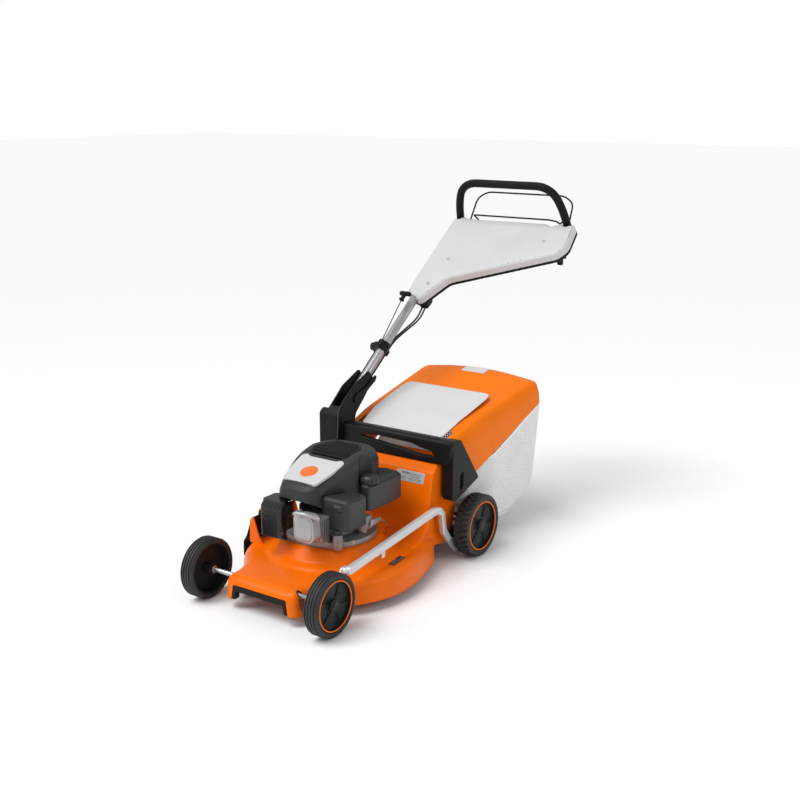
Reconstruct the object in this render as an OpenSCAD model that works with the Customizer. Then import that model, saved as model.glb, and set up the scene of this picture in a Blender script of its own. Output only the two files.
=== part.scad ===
// Walk-behind petrol lawn mower with a single-column handle and a rear grass catcher.
// Model frame while drawing: y = 0 at the front axle, -Y is the front, +X is the operator's left, z = 0 is
// the ground.
// Every node is shifted at the end so that the origin is the centre of the footprint at ground level.

/* [Chassis] */
// Distance between the front and rear wheel axes
wheelbase = 729; // [700:1:880]
// Height of the deck's lower edge above the ground
deck_clearance = 31; // [20:1:40]
// Half width of the blade chamber at its lower edge
chamber_r = 267; // [250:1:272]
// Distance of the blade axis behind the front axle
blade_y = 300; // [290:1:360]
// Sheet thickness of the deck
deck_wall = 3; // [2:0.5:4]
// Height of the engine seat above the ground
seat_z = 156; // [150:1:190]
// Height of the discharge tunnel's roof above the ground
tunnel_z = 326; // [300:1:340]

/* [Wheels] */
// Front wheel diameter
front_wheel_d = 180; // [150:1:216]
// Rear wheel diameter
rear_wheel_d = 200; // [167:1:240]
// Width of a front tyre
front_tyre_w = 47.5; // [36:0.5:54]
// Width of a rear tyre
rear_tyre_w = 55; // [44:0.5:58]
// Front track over the outer faces of the tyres
front_track = 504; // [490:1:560]
// Rear track over the outer faces of the tyres
rear_track = 547; // [547:1:600]
// Diameter of both axles
axle_d = 14; // [10:1:17]

/* [Blade and engine] */
// Length of the blade
blade_l = 505; // [420:1:512]
// Diameter of the crankshaft
crank_d = 25; // [22:1:30]
// Height of the engine shroud's roof above the engine seat
engine_h = 244; // [235:1:293]
// Fuel cap diameter
fuel_cap_d = 60; // [50:1:66]

/* [Handle] */
// Slope of the handle column above the ground
handle_angle = 37; // [30:1:42]
// Diameter of the handle column
column_d = 30; // [25:0.5:31]
// Length of the column from the fold pivot to the console's lower edge
column_l = 441; // [368:1:529]
// Width of the console
console_w = 484; // [420:1:500]
// Length of the console along the slope
console_l = 400; // [350:1:480]
// Thickness of the console
console_t = 44; // [36:1:52]
// Height of the handle loop above the console
loop_h = 150; // [125:1:180]
// Diameter of the handle loop's grip
loop_d = 28; // [23:0.5:33]

/* [Catcher] */
// Length of the catcher behind the arch
catcher_l = 520; // [470:1:620]
// Half width of the catcher's cover at the back
catcher_hw = 238; // [200:1:260]
// Height of the catcher's floor above the ground
catcher_floor = 50; // [42:1:60]
// Wall of the catcher's cover and basket
catcher_wall = 3; // [2:0.5:4]

/* [Hidden] */
$fn = 48;

run_gap = 0.05;     // radial clearance of a shaft in its bore
fit_gap = 0.3;      // gap between faces that pass each other
front_r = front_wheel_d / 2;
rear_r = rear_wheel_d / 2;
front_x = front_track / 2;
rear_x = rear_track / 2;
front_axle_z = front_r;
rear_axle_z = rear_r;
axle_r = axle_d / 2;

// Cutting height cranks: pivots, and the link's pins on them, at rest (lowest cut).
front_pivot = [62, front_axle_z - 18];
rear_pivot = [wheelbase - 79, rear_axle_z - 15];
front_lever = 40;
rear_lever = 49.4;
front_pin = front_pivot + front_lever * [sin(25), cos(25)];
rear_pin = rear_pivot + rear_lever * [sin(20), -cos(20)];
pivot_r = 8;
pin_r = 4;

// Rear tunnel and arch
tunnel_hw = 190;              // half width of the tunnel's rear mouth
mouth_y = wheelbase - 39;     // rear end of the tunnel
arch_y = wheelbase - 129;     // front face of the carrying arch's top bar
arch_z = tunnel_z + 76;       // top of the carrying arch
arch_x = 240;                 // outer face of the arch's leg
chamber_back = wheelbase - 154;

// Engine
eng_x = -18;                  // the shroud sits a little to the right of the crankshaft
roof_z = seat_z + engine_h;

// Handle: local axes are x, u along the column and n square to it
fold_x = -200;
fold_y = arch_y + 84;
fold_z = arch_z + 77;
tube_r = column_d / 2;
console_u = column_l;         // distance from the fold pivot to the console's lower edge
console_end = column_l + console_l + 6;
ca = cos(handle_angle);
sa = sin(handle_angle);

// Catcher
cover_front = arch_y + 48;
cover_back = arch_y + 48 + catcher_l;
flap_hinge = [arch_y + 57, arch_z - 16];

// Whole footprint, so that the origin is its centre
bail_reach = 76;              // how far the stop bail stands behind the console
back_y = fold_y + console_end * ca + bail_reach;
frame_y = (back_y - front_r) / 2;

// ---------- helpers ----------
function unit(v) = v / norm(v);
function bez(a, b, c, t) = (1 - t) * (1 - t) * a + 2 * t * (1 - t) * b + t * t * c;
// Corners of a closed outline, rounded
function rounded(p, r, n = 4) = [for (i = [0:len(p) - 1])
    let (a = p[(i + len(p) - 1) % len(p)], b = p[i], c = p[(i + 1) % len(p)],
        s = b + min(r, norm(a - b) / 2.05) * unit(a - b), e = b + min(r, norm(c - b) / 2.05) * unit(c - b))
    for (k = [0:n]) bez(s, b, e, k / n)];
// Corners of an open path, rounded
function bent(p, r, n = 6) = concat([p[0]], [for (i = [1:len(p) - 2])
    let (a = p[i - 1], b = p[i], c = p[i + 1],
        s = b + min(r, norm(a - b) / 2.05) * unit(a - b), e = b + min(r, norm(c - b) / 2.05) * unit(c - b))
    for (k = [0:n]) bez(s, b, e, k / n)], [p[len(p) - 1]]);
function heading(p, i) = unit(i == 0 ? p[1] - p[0] : i == len(p) - 1 ? p[i] - p[i - 1]
    : unit(p[i + 1] - p[i]) + unit(p[i] - p[i - 1]));
function frames(p, i, x) = i == len(p) ? [] :
    let (d = heading(p, i), xi = unit(x - (x * d) * d)) concat([[xi, cross(d, xi)]], frames(p, i + 1, xi));

// A closed solid through rings of equal point counts
module loft(rings) {
    n = len(rings[0]);
    m = len(rings);
    polyhedron(points = [for (r = rings) for (q = r) q], faces = concat(
        [[for (k = [0:n - 1]) k]],
        [for (i = [0:m - 2]) for (k = [0:n - 1])
            [i * n + k, (i + 1) * n + k, (i + 1) * n + (k + 1) % n, i * n + (k + 1) % n]],
        [[for (k = [n - 1:-1:0]) (m - 1) * n + k]]));
}
// A round bar of radius r along a path
module sweep(p, r, sides = 8) {
    f = frames(p, 0, [0.31, 0.52, 0.79]);
    loft([for (i = [0:len(p) - 1]) [for (k = [0:sides - 1])
        p[i] + r * (cos(360 * k / sides) * f[i][0] + sin(360 * k / sides) * f[i][1])]]);
}
// A cylinder along X from x0 to x1 at [y, z]
module bar_x(x0, x1, yz, r) { translate([x0, yz[0], yz[1]]) rotate([0, 90, 0]) cylinder(h = x1 - x0, r = r); }
// A cylinder along Y
module bar_y(y0, y1, xz, r) { translate([xz[0], y0, xz[1]]) rotate([-90, 0, 0])
    cylinder(h = y1 - y0, r = r); }
// An outline in the YZ plane, extruded along X from x0 to x1
module slab_x(x0, x1, p) { translate([x0, 0, 0]) rotate([90, 0, 90]) linear_extrude(x1 - x0) polygon(p); }
// An outline in the XZ plane, extruded along Y from y0 to y1
module slab_y(y0, y1, p) { translate([0, y1, 0]) rotate([90, 0, 0]) linear_extrude(y1 - y0) polygon(p); }
// An outline in the XY plane, extruded from z0 to z1
module slab_z(z0, z1, p) { translate([0, 0, z0]) linear_extrude(z1 - z0) polygon(p); }
module box(a, b) { translate(a) cube(b - a); }
// Children drawn in the handle's frame: x as is, y along the column from the fold pivot, z square to it
module on_handle() { translate([0, fold_y, fold_z]) rotate([handle_angle, 0, 0]) children(); }
function handle_pt(x, u, n) = [x, fold_y + u * ca - n * sa, fold_z + u * sa + n * ca];
module mirror_copy() { children(); mirror([1, 0, 0]) children(); }

// ---------- deck ----------
// Half outline of the skirt, front to back, as [x, y]
skirt = concat([[0, -34], [chamber_r * 0.5, -34], [chamber_r * 0.505, 22], [chamber_r * 0.58, 70],
    [chamber_r * 0.68, blade_y - 194]], [for (a = [51:11:95]) [chamber_r * sin(a),
    blade_y - chamber_r * cos(a)]],
    [[chamber_r * 0.975, blade_y + 80], [tunnel_hw + 34, blade_y + 214], [tunnel_hw + 6, chamber_back - 5],
    [tunnel_hw - 40, chamber_back], [0, chamber_back]]);
skirt_path = bent(skirt, 42, 3);
// The outline pulled inwards by d, square to itself
function inset(p, d) = [for (i = [0:len(p) - 1])
    let (t = unit(p[min(i + 1, len(p) - 1)] - p[max(i - 1, 0)])) p[i] + d * [-t[1], t[0]]];
function chamber_ring(z, d) = let (h = inset(skirt_path, d), n = len(h)) concat([[0, h[0][1], z]],
    [for (i = [1:n - 2]) [h[i][0], h[i][1], z]], [[0, h[n - 1][1], z]], [for (i = [n - 2:-1:1]) [-h[i][0],
    h[i][1], z]]);
shoulder_z = 104;             // top of the deck's outer shoulder
module chamber(g) {
    loft([chamber_ring(deck_clearance - (g > 0 ? 2 : 0), g), chamber_ring(shoulder_z - 30, g + 2),
        chamber_ring(shoulder_z - 14 - g * 0.6, g + 6), chamber_ring(shoulder_z - 5 - g * 0.9, g + 14),
        chamber_ring(shoulder_z - g, g + 25)]);
}
module seat_dome(g) {
    translate([0, blade_y, 0]) rotate_extrude() polygon([[0, shoulder_z - 30], [203 - g, shoulder_z - 30],
        [203 - g, shoulder_z - 2 - g], [188 - g, shoulder_z + 9 - g], [169 - g, shoulder_z + 17 - g],
        [158 - g, seat_z - 18 - g], [148 - g, seat_z - 4 - g],
        [140 - g, seat_z - g], [0, seat_z - g]]);
}
module tunnel(g, past = 0) {
    side = [[blade_y + 110, 60], [blade_y + 110, shoulder_z - 2 - g], [blade_y + 190 + g,
        shoulder_z + 12 - g], [blade_y + 215 + g, 150],
        [blade_y + 226 + g, 210], [blade_y + 240 + g, 262 - g], [arch_y - 42 + g, 306 - g],
        [arch_y - 12, tunnel_z - g], [mouth_y + past, tunnel_z - g], [mouth_y + past, 152 + g],
        [chamber_back + 2 - g, 130 + g], [chamber_back - g, 60]];
    plan = [[tunnel_hw + 13 - g, blade_y + 100], [tunnel_hw + 13 - g, chamber_back - 50],
        [tunnel_hw - g, chamber_back], [tunnel_hw - g, mouth_y + 10]];
    intersection() {
        slab_x(-260, 260, side);
        slab_z(0, 400, concat([for (p = plan) p], [for (i = [len(plan) - 1:-1:0]) [-plan[i][0],
            plan[i][1]]]));
    }
}
module deck_shell() { color("darkorange") difference() {
    union() {
        chamber(0);
        seat_dome(0);
        tunnel(0);
        // ears that carry the rear cranks
        mirror_copy() slab_x(tunnel_hw - 5, tunnel_hw, rounded([[chamber_back - 20, 150], [mouth_y, 170],
            [rear_pivot[0] + 22, rear_pivot[1] - 22], [rear_pivot[0] - 26, rear_pivot[1] - 26],
            [chamber_back - 20, 70]], 8));
        // hump over the drive belt
        slab_x(-52, 52, [[blade_y + 100, shoulder_z - 8], [blade_y + 112, belt_z + 14],
            [blade_y + 236, belt_z + 14], [blade_y + 236, shoulder_z - 8]]);
        // ears of the side cover
        for (y = [blade_y - 99.3, blade_y + 95.3]) slab_y(y, y + 4, rounded([[-150, shoulder_z - 6],
            [-chamber_r + 26, shoulder_z - 3],
            [-chamber_r + 28, hinge_z - 4], [-chamber_r + 36, hinge_z + 9], [-chamber_r + 50, hinge_z + 4],
            [-170, shoulder_z + 26]], 5));
    }
    chamber(deck_wall);
    seat_dome(deck_wall);
    tunnel(deck_wall, 2);
    slab_x(-49, 49, [[blade_y + 104, shoulder_z - 20], [blade_y + 115, belt_z + 11],
        [blade_y + 240, belt_z + 11], [blade_y + 240, shoulder_z - 20]]);
    // front arch between the wheels
    slab_y(-60, 8, rounded([[-front_lip_w, -5], [-front_lip_w + 14, 78], [front_lip_w - 14, 78],
        [front_lip_w, -5]], 6));
    axle_arc();
    bar_x(-300, 300, front_pivot, pivot_r + run_gap);
    bar_y(blade_y - 120, blade_y + 120, [-chamber_r + 38, hinge_z], 4 + run_gap);
    bar_x(-300, 300, rear_pivot, pivot_r + run_gap);
    // crankshaft, belt, side discharge and engine bolts
    translate([0, blade_y, 60]) cylinder(h = 200, r = 42);
    box([-62, chamber_back - 30, belt_z - 9], [62, chamber_back + 30, belt_z + 11]);
    box([-300, blade_y - 85, deck_clearance + 12], [-200, blade_y + 85, 80]);
    for (a = bolt_angles) translate([110 * cos(a), blade_y + 110 * sin(a), 60]) cylinder(h = 200, r = 4.3);
} }
front_lip_w = chamber_r * 0.5 - 22;
belt_z = rear_axle_z + 17;

// The arc that the front axle sweeps as the cranks turn
module axle_arc() {
    slab_x(-300, 300, crank_outline([0, front_axle_z], [-2.5, front_axle_z - 20], axle_r + 1.5,
        axle_r + 1.5));
    slab_x(-300, 300, crank_outline([-2.5, front_axle_z - 20], [9, front_axle_z - 66], axle_r + 1.5,
        axle_r + 3));
}
hinge_z = 176;               // height of the side cover's hinge
module front_liner() { color([0.05, 0.05, 0.05]) difference() {
    slab_y(-33, -14, rounded([[-front_lip_w + 7.6, 34], [-front_lip_w + 15, 76.5], [front_lip_w - 15, 76.5],
        [front_lip_w - 7.6, 34]], 5));
    slab_y(-50, 60, rounded([[-front_lip_w + 19, 20], [-front_lip_w + 25, 60], [front_lip_w - 25, 60],
        [front_lip_w - 19, 20]], 5));
} }

module side_cover() { color([0.06, 0.06, 0.06]) {
    x = chamber_r;
    slab_y(blade_y - 95, blade_y + 95, [[-x + 41, hinge_z], [-x + 35, hinge_z - 7], [-x + 14, 114],
        [-x - 2, 92],
        [-x - 3.5, deck_clearance + 16], [-x - 6.3, deck_clearance + 16], [-x - 5.5, 94], [-x + 9, 118],
        [-x + 30, hinge_z]]);
    bar_y(blade_y - 95, blade_y + 95, [-x + 38, hinge_z], 6);
    bar_y(blade_y - 99, blade_y + 99, [-x + 38, hinge_z], 4);
    // catch on the top edge
    slab_y(blade_y - 64, blade_y - 14, rounded([[-x + 30, hinge_z], [-x + 34, hinge_z + 18],
        [-x + 50, hinge_z + 18],
        [-x + 48, hinge_z + 2]], 4));
} }

// ---------- arch and bracket ----------
arch_front = arch_y - 26;
module rear_arch() { color([0.09, 0.09, 0.1]) {
    low = tunnel_z + 1;
    slab_bar = [[arch_y - 2, arch_z - 20], [arch_y, arch_z - 4], [arch_y + 6, arch_z],
        [arch_y + 34, arch_z - 2],
        [arch_y + 42, arch_z - 8], [arch_y + 42, arch_z - 14], [arch_y + 20, arch_z - 22]];
    difference() {
        union() {
            slab_x(-174, arch_x, slab_bar);
            slab_y(arch_y - 16, arch_y + 2, rounded([[-174, low], [arch_x - 20, low], [arch_x - 4, low + 30],
                [arch_x, arch_z - 12], [arch_x - 6, arch_z - 3], [-174, arch_z - 3]], 6));
            // left leg
            slab_x(arch_x - 38, arch_x, rounded([[arch_y - 4, arch_z], [arch_y - 4, 216], [arch_y + 14, 206],
                [arch_y + 152, 251], [arch_y + 43, arch_z - 2]], 7));
        }
        // grip slot
        slab_y(arch_y - 60, arch_y + 60, rounded([[-108, low + 44], [40, low + 30], [128, low + 20],
            [176, low + 22],
            [172, low + 36], [122, low + 44], [98, low + 52], [-60, low + 56]], 8));
        // keyhole of the leg
        slab_x(arch_x - 12, arch_x + 5, rounded([[arch_y + 40, 236], [arch_y + 40, 284], [arch_y + 58, 296],
            [arch_y + 58, 246]], 3));
    }
    // feet on the tunnel roof
    for (x = [-150, 130]) box([x, arch_y - 14, tunnel_z], [x + 24, arch_y + 1, tunnel_z + 4]);
} }

cheek = 7;           // thickness of the bracket's cheeks beside the column
module handle_bracket() { color([0.07, 0.07, 0.075]) {
    wall = cheek;
    gap = tube_r + 1.5;
    base = [[arch_y - 44, 214], [arch_y - 44, arch_z + 26], [arch_y - 34, arch_z + 40],
        [fold_y - 40, fold_z + 28],
        [fold_y + 50, fold_z + 66], [fold_y + 74, fold_z + 36], [fold_y + 30, fold_z - 14],
        [fold_y - 22, fold_z - 62],
        [arch_y + 48, arch_z - 30], [arch_y + 60, 230], [arch_y + 40, 200]];
    difference() {
        slab_x(fold_x - gap - wall, fold_x + gap + wall, rounded(base, 8));
        // room for the column between the cheeks
        slab_x(fold_x - gap, fold_x + gap, [[fold_y - 22, fold_z - 40], [arch_y + 10, arch_z + 42],
            [arch_y - 60, arch_z + 70], [fold_y, fold_z + 140], [fold_y + 140, fold_z + 60],
            [fold_y + 60, fold_z - 40]]);
        slab_x(fold_x - gap, fold_x + gap, [[arch_y - 30, 160], [arch_y - 30, arch_z - 40],
            [arch_y + 34, arch_z - 30],
            [arch_y + 44, 160]]);
        bar_x(fold_x - 60, fold_x + 60, [fold_y, fold_z], 5 + run_gap);
        on_handle() bar_x(fold_x, fold_x + 60, lock_un, 4 + run_gap);
        // seat on the tunnel's side, and a channel for the cables
        box([-tunnel_hw - 13.2, arch_y - 100, 100], [0, arch_y + 100, tunnel_z + 0.3]);
        slab_x(fold_x - 9, fold_x + 9, [[arch_y - 10, 340], [arch_y - 10, arch_z - 16],
            [arch_y + 36, arch_z + 46],
            [arch_y + 110, arch_z + 74], [arch_y + 110, arch_z + 40], [arch_y + 50, arch_z - 6],
            [arch_y + 26, 340]]);
    }
    // outer housing in front of the cheeks, and its foot against the tunnel
    slab_x(fold_x - 48, fold_x - gap - wall, rounded([[arch_y - 44, 214], [arch_y - 44, arch_z + 30],
        [arch_y - 26, arch_z + 44], [arch_y + 20, arch_z + 30], [arch_y + 40, 300], [arch_y + 24, 214]], 6));
    slab_x(fold_x + tube_r + 2, -174, rounded([[arch_y - 16, tunnel_z + 1], [arch_y - 16, arch_z + 6],
        [arch_y + 40, arch_z + 2],
        [arch_y + 40, tunnel_z + 1]], 4));
} }

// ---------- engine ----------
bolt_angles = [50, 170, 235];
module crankcase() { color([0.42, 0.42, 0.44]) difference() {
    union() {
        translate([0, blade_y, seat_z]) cylinder(h = 16, r = 136);
        translate([0, blade_y, seat_z + 16]) cylinder(h = 8, r1 = 130, r2 = 118);
        translate([0, blade_y, seat_z + 23]) cylinder(h = 62, r = 96);
        for (a = bolt_angles) translate([110 * cos(a), blade_y + 110 * sin(a), seat_z])
            cylinder(h = 30, r = 15);
        // lug with the oil filler, on the left front
        translate([104, blade_y - 104, seat_z + 2]) cylinder(h = 44, r = 15);
        box([60, blade_y - 118, seat_z + 2], [104, blade_y - 70, seat_z + 22]);
    }
    translate([0, blade_y, seat_z - 1]) cylinder(h = 100, r = crank_d / 2 + run_gap);
    for (a = bolt_angles) translate([110 * cos(a), blade_y + 110 * sin(a), seat_z - 1])
        cylinder(h = 80, r = 4.3);
    translate([104, blade_y - 104, seat_z + 20]) cylinder(h = 40, r = 9);
} }
module cylinder_block() { color([0.46, 0.46, 0.48]) {
    // barrel and its cooling fins, pointing forwards
    bar_y(blade_y - 150, blade_y - 114, [44, seat_z + 60], 34);
    bar_y(blade_y - 115, blade_y - 97, [29, seat_z + 44], 18);
    for (i = [0:4]) box([9, blade_y - 148 + i * 8, seat_z + 26], [82, blade_y - 145 + i * 8, seat_z + 100]);
} }
module valve_cover() { color([0.72, 0.73, 0.74]) {
    p = rounded([[8, seat_z + 44], [22, seat_z + 34], [70, seat_z + 34], [82, seat_z + 48],
        [80, seat_z + 104],
        [68, seat_z + 116], [24, seat_z + 116], [8, seat_z + 104]], 7, 3);
    slab_y(blade_y - 186, blade_y - 151, p);
    slab_y(blade_y - 189, blade_y - 186, rounded([[14, seat_z + 50], [26, seat_z + 42], [66, seat_z + 42],
        [76, seat_z + 52], [74, seat_z + 100], [64, seat_z + 110], [28, seat_z + 110], [14, seat_z + 100]],
        7, 3));
} }
// Shroud outline at one height: d pulls it in, f moves the front edge back
function shroud_ring(z, d, f) = [for (p = rounded([[eng_x - 66 + d, blade_y - 152 + f],
    [eng_x + 66 - d, blade_y - 152 + f],
    [eng_x + 90 - d, blade_y - 60], [eng_x + 120 - d, blade_y + 40], [eng_x + 116 - d, blade_y + 120 - d],
    [eng_x + 60, blade_y + 168 - d], [eng_x - 60, blade_y + 168 - d], [eng_x - 118 + d, blade_y + 110 - d],
    [eng_x - 112 + d, blade_y - 20]], 34, 4)) [p[0], p[1], z(p[1])]];
module shroud_solid(g) {
    slope = function (lift) function (y) min(roof_z + lift, roof_z - 64 + lift + (y - blade_y + 152) * 0.335);
    loft([shroud_ring(function (y) seat_z + 86 - (g > 0 ? 1 : 0) + max(0, (blade_y - 60 - y) * 0.58), g, g),
        shroud_ring(slope(-30 - g), 2 + g, g + 1), shroud_ring(slope(-13 - g), 8 + g, g + 5),
        shroud_ring(slope(-4 - g), 18 + g, g + 12), shroud_ring(slope(-g), 34 + g, g + 26)]);
}
cap_xy = [112, blade_y + 44];
tank_plan = [[eng_x + 66, blade_y + 62], [94, blade_y + 54], [94, blade_y + 12], [132, blade_y + 12],
    [136, blade_y + 84],
    [134, blade_y + 180], [74, blade_y + 192], [eng_x + 58, blade_y + 174]];
module cap_scoop(r) { translate([cap_xy[0], cap_xy[1], seat_z + 150]) cylinder(h = 130, r = r); }
module engine_shroud() { color([0.17, 0.18, 0.18]) difference() {
    shroud_solid(0);
    difference() {
        shroud_solid(3);
        cap_scoop(fuel_cap_d / 2 + 7);
    }
    cap_scoop(fuel_cap_d / 2 + 4);
    slab_z(seat_z + 70, seat_z + 168, rounded([for (p = tank_plan) [80, blade_y + 100] + 1.03 * (p - [80,
        blade_y + 100])], 14));
    slab_z(seat_z + 60, seat_z + 155, rounded([for (p = filter_plan) [100,
        blade_y - 68] + 1.02 * (p - [100, blade_y - 68])], 5));
    // grille opening above the flywheel
    slab_z(roof_z - 40, roof_z + 10, rounded([for (p = grille_plan) [eng_x, blade_y + 50] + 1.01 * p], 12,
        3));
} }
// Height of the shroud's roof at y, and a flat plate laid on the sloping roof
roof_slope = atan(0.335);
module on_roof() { translate([eng_x, blade_y - 152, roof_z - 64]) rotate([roof_slope, 0, 0]) children(); }
module shroud_panel() { color("white") on_roof() {
    linear_extrude(2.5) polygon(rounded([[-56, 38], [56, 38], [70, 100], [74, 150], [58, 156], [48, 145],
        [-48, 145],
        [-58, 156], [-74, 150], [-70, 100]], 9, 3));
    translate([0, 78, 2.5]) cylinder(h = 0.8, r = 27);
} }
grille_plan = [[-62, -46], [62, -46], [72, -6], [66, 36], [44, 62], [-44, 62], [-66, 36], [-72, -6]];
module recoil_grille() { color([0.13, 0.13, 0.14]) difference() {
    intersection() {
        slab_z(roof_z - 40, roof_z + 10, rounded([for (p = grille_plan) [eng_x, blade_y + 50] + p], 12, 3));
        // top and underside follow the roof's bend
        slab_x(eng_x - 90, eng_x + 90, [[blade_y - 20, roof_z - 64 + 132 * 0.335 + 3],
            [blade_y + 39, roof_z + 3],
            [blade_y + 130, roof_z + 3], [blade_y + 130, roof_z - 6], [blade_y + 42, roof_z - 6],
            [blade_y - 20, roof_z - 64 + 132 * 0.335 - 7]]);
    }
    for (x = [-51:8.5:51]) for (y = [-34:8.5:51]) if (norm([x, y]) < 58)
        translate([eng_x + x - 2.6, blade_y + 50 + y - 2, roof_z - 60]) cube([5.2, 4, 80]);
} }
module fuel_tank() { color([0.14, 0.15, 0.15]) difference() {
    union() {
        slab_z(seat_z + 86, seat_z + 160, rounded(tank_plan, 16));
        slab_z(seat_z + 160, seat_z + 166, rounded([for (p = tank_plan) [75,
            blade_y + 100] + 0.93 * (p - [75, blade_y + 100])], 14));
    }
    slab_z(seat_z + 90, seat_z + 156, rounded([for (p = tank_plan) [80, blade_y + 100] + 0.88 * (p - [80,
        blade_y + 100])], 12));
    translate([cap_xy[0], cap_xy[1], seat_z + 92]) cylinder(h = 100, r = fuel_cap_d / 2 - 12);
} }
module fuel_cap() { color([0.12, 0.12, 0.13]) translate([cap_xy[0], cap_xy[1], seat_z + 82]) {
    translate([0, 0, 84.3]) difference() {
        cylinder(h = 16, r = fuel_cap_d / 2);
        for (a = [0:30:330]) rotate(a + 15) translate([fuel_cap_d / 2 + 1, 0, -1]) cylinder(h = 20, r = 3.4);
    }
    translate([0, 0, 100.3]) cylinder(h = 5, r1 = fuel_cap_d / 2 - 3, r2 = fuel_cap_d / 2 - 7);
    translate([0, 0, 62]) cylinder(h = 23, r = fuel_cap_d / 2 - 12.6);
} }
filter_plan = [[eng_x + 70, blade_y - 112], [142, blade_y - 112], [150, blade_y - 104], [150, blade_y - 24],
    [100, blade_y - 24], [eng_x + 96, blade_y - 60]];
module air_filter() { color([0.15, 0.16, 0.16]) difference() {
    union() {
        slab_z(seat_z + 62, seat_z + 148, rounded(filter_plan, 7, 3));
        slab_z(seat_z + 148, seat_z + 154, rounded([for (p = filter_plan) [106,
            blade_y - 68] + 0.92 * (p - [106, blade_y - 68])], 7, 3));
        box([98, blade_y - 117, seat_z + 122], [124, blade_y - 112, seat_z + 134]);
    }
    slab_z(seat_z + 68, seat_z + 142, rounded([for (p = filter_plan) [106,
        blade_y - 68] + 0.84 * (p - [106, blade_y - 68])], 6, 3));
} }
module carburettor() { color([0.5, 0.5, 0.52]) {
    box([100, blade_y - 20, seat_z + 34], [132, blade_y + 22, seat_z + 74]);
    bar_x(96.2, 100, [blade_y, seat_z + 54], 14);
    translate([116, blade_y, seat_z + 26]) cylinder(h = 8, r = 14);
    // governor arm and its springs
    slab_x(134, 137, rounded([[blade_y + 10, seat_z + 40], [blade_y + 60, seat_z + 46],
        [blade_y + 66, seat_z + 56],
        [blade_y + 14, seat_z + 62]], 4));
    bar_x(132, 134, [blade_y + 16, seat_z + 54], 5);
    sweep(bent([[138.5, blade_y + 58, seat_z + 50], [139, blade_y + 84, seat_z + 36],
        [134, blade_y + 100, seat_z + 12]], 12, 3),
        1.6);
} }
module muffler() { color([0.25, 0.24, 0.23]) {
    slab_y(blade_y - 168, blade_y - 118, rounded([[eng_x - 92, seat_z + 36], [eng_x - 30, seat_z + 36],
        [eng_x - 30, seat_z + 116], [eng_x - 92, seat_z + 116]], 12, 3));
    bar_x(eng_x - 30.1, 8, [blade_y - 128, seat_z + 84], 11);
} }
module muffler_guard() { color([0.03, 0.03, 0.03]) difference() {
    slab_y(blade_y - 184, blade_y - 112, rounded([[eng_x - 104, seat_z + 22], [eng_x - 22, seat_z + 22],
        [eng_x - 22, seat_z + 134], [eng_x - 104, seat_z + 134]], 16, 3));
    slab_y(blade_y - 181, blade_y - 100, rounded([[eng_x - 101, seat_z + 25], [eng_x - 22, seat_z + 25],
        [eng_x - 22, seat_z + 200], [eng_x - 101, seat_z + 200]], 10, 3));
    box([eng_x - 40, blade_y - 200, seat_z], [eng_x, blade_y - 170, seat_z + 60]);
    for (z = [38:14:122]) for (x = [-92:14:-50])
        bar_y(blade_y - 190, blade_y - 170, [eng_x + x + (z % 28 == 10 ? 7 : 0), seat_z + z], 4);
} }
module spark_plug() { color([0.6, 0.6, 0.6]) {
    bar_y(blade_y - 206, blade_y - 187, [30, seat_z + 124], 6);
    sweep(bent([[30, blade_y - 200, seat_z + 124], [62, blade_y - 200, seat_z + 127],
        [96, blade_y - 176, seat_z + 112]], 14, 4), 6, 12);
} }
module oil_cap() { color("gold") translate([104, blade_y - 104, seat_z + 24]) {
    cylinder(h = 30, r = 8.6);
    translate([0, 0, 22.4]) cylinder(h = 14, r = 13);
} }

// ---------- rotating group: crankshaft, flywheel, blade ----------
blade_z = deck_clearance + 16;
module crankshaft() { color("silver") difference() {
    translate([0, blade_y, blade_z + 12]) {
        cylinder(h = roof_z - blade_z - 70, r = crank_d / 2);
        // drive pulley for the belt
        translate([0, 0, belt_z - blade_z - 20]) rotate_extrude() polygon([[0, 0], [36, 0], [36, 2],
            [29, 6], [29, 10],
            [36, 14], [36, 16], [0, 16]]);
        // blade hub
        cylinder(h = 22, r = 30);
    }
    translate([0, blade_y, blade_z]) cylinder(h = 60, r = 5);
} }
module flywheel() { color([0.35, 0.35, 0.36]) translate([0, blade_y, seat_z + 96]) difference() {
    union() {
        cylinder(h = 22, r = 66);
        for (a = [0:24:336]) rotate(a) translate([44, -1.5, 21]) cube([21, 3, 26]);
    }
    translate([0, 0, -1]) cylinder(h = 60, r = crank_d / 2);
} }
module blade() { color([0.55, 0.56, 0.58]) translate([0, blade_y, blade_z]) {
    h = blade_l / 2;
    difference() {
        linear_extrude(4) polygon([[-h, 24], [-h + 14, 27], [-40, 29], [40, 29], [h - 60, 24], [h, 16],
            [h, -24],
            [h - 14, -27], [40, -29], [-40, -29], [-h + 60, -24], [-h, -16]]);
        translate([0, 0, -1]) cylinder(h = 8, r = 5);
    }
    // lifted trailing wings
    for (s = [0, 180]) rotate(s) translate([h - 60, -27, 0]) rotate([0, 0, -2])
        slab_x(0, 52, [[0, 0], [-3, 1], [-13, 10], [-11, 12.5], [-2, 4], [0, 4]]);
} }
module blade_bolt() { color([0.3, 0.3, 0.31]) translate([0, blade_y, blade_z]) {
    translate([0, 0, -14]) cylinder(h = 10, r = 10.5, $fn = 6);
    translate([0, 0, -4]) cylinder(h = 4, r = 20);
    cylinder(h = 46, r = 5);
} }

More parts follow.
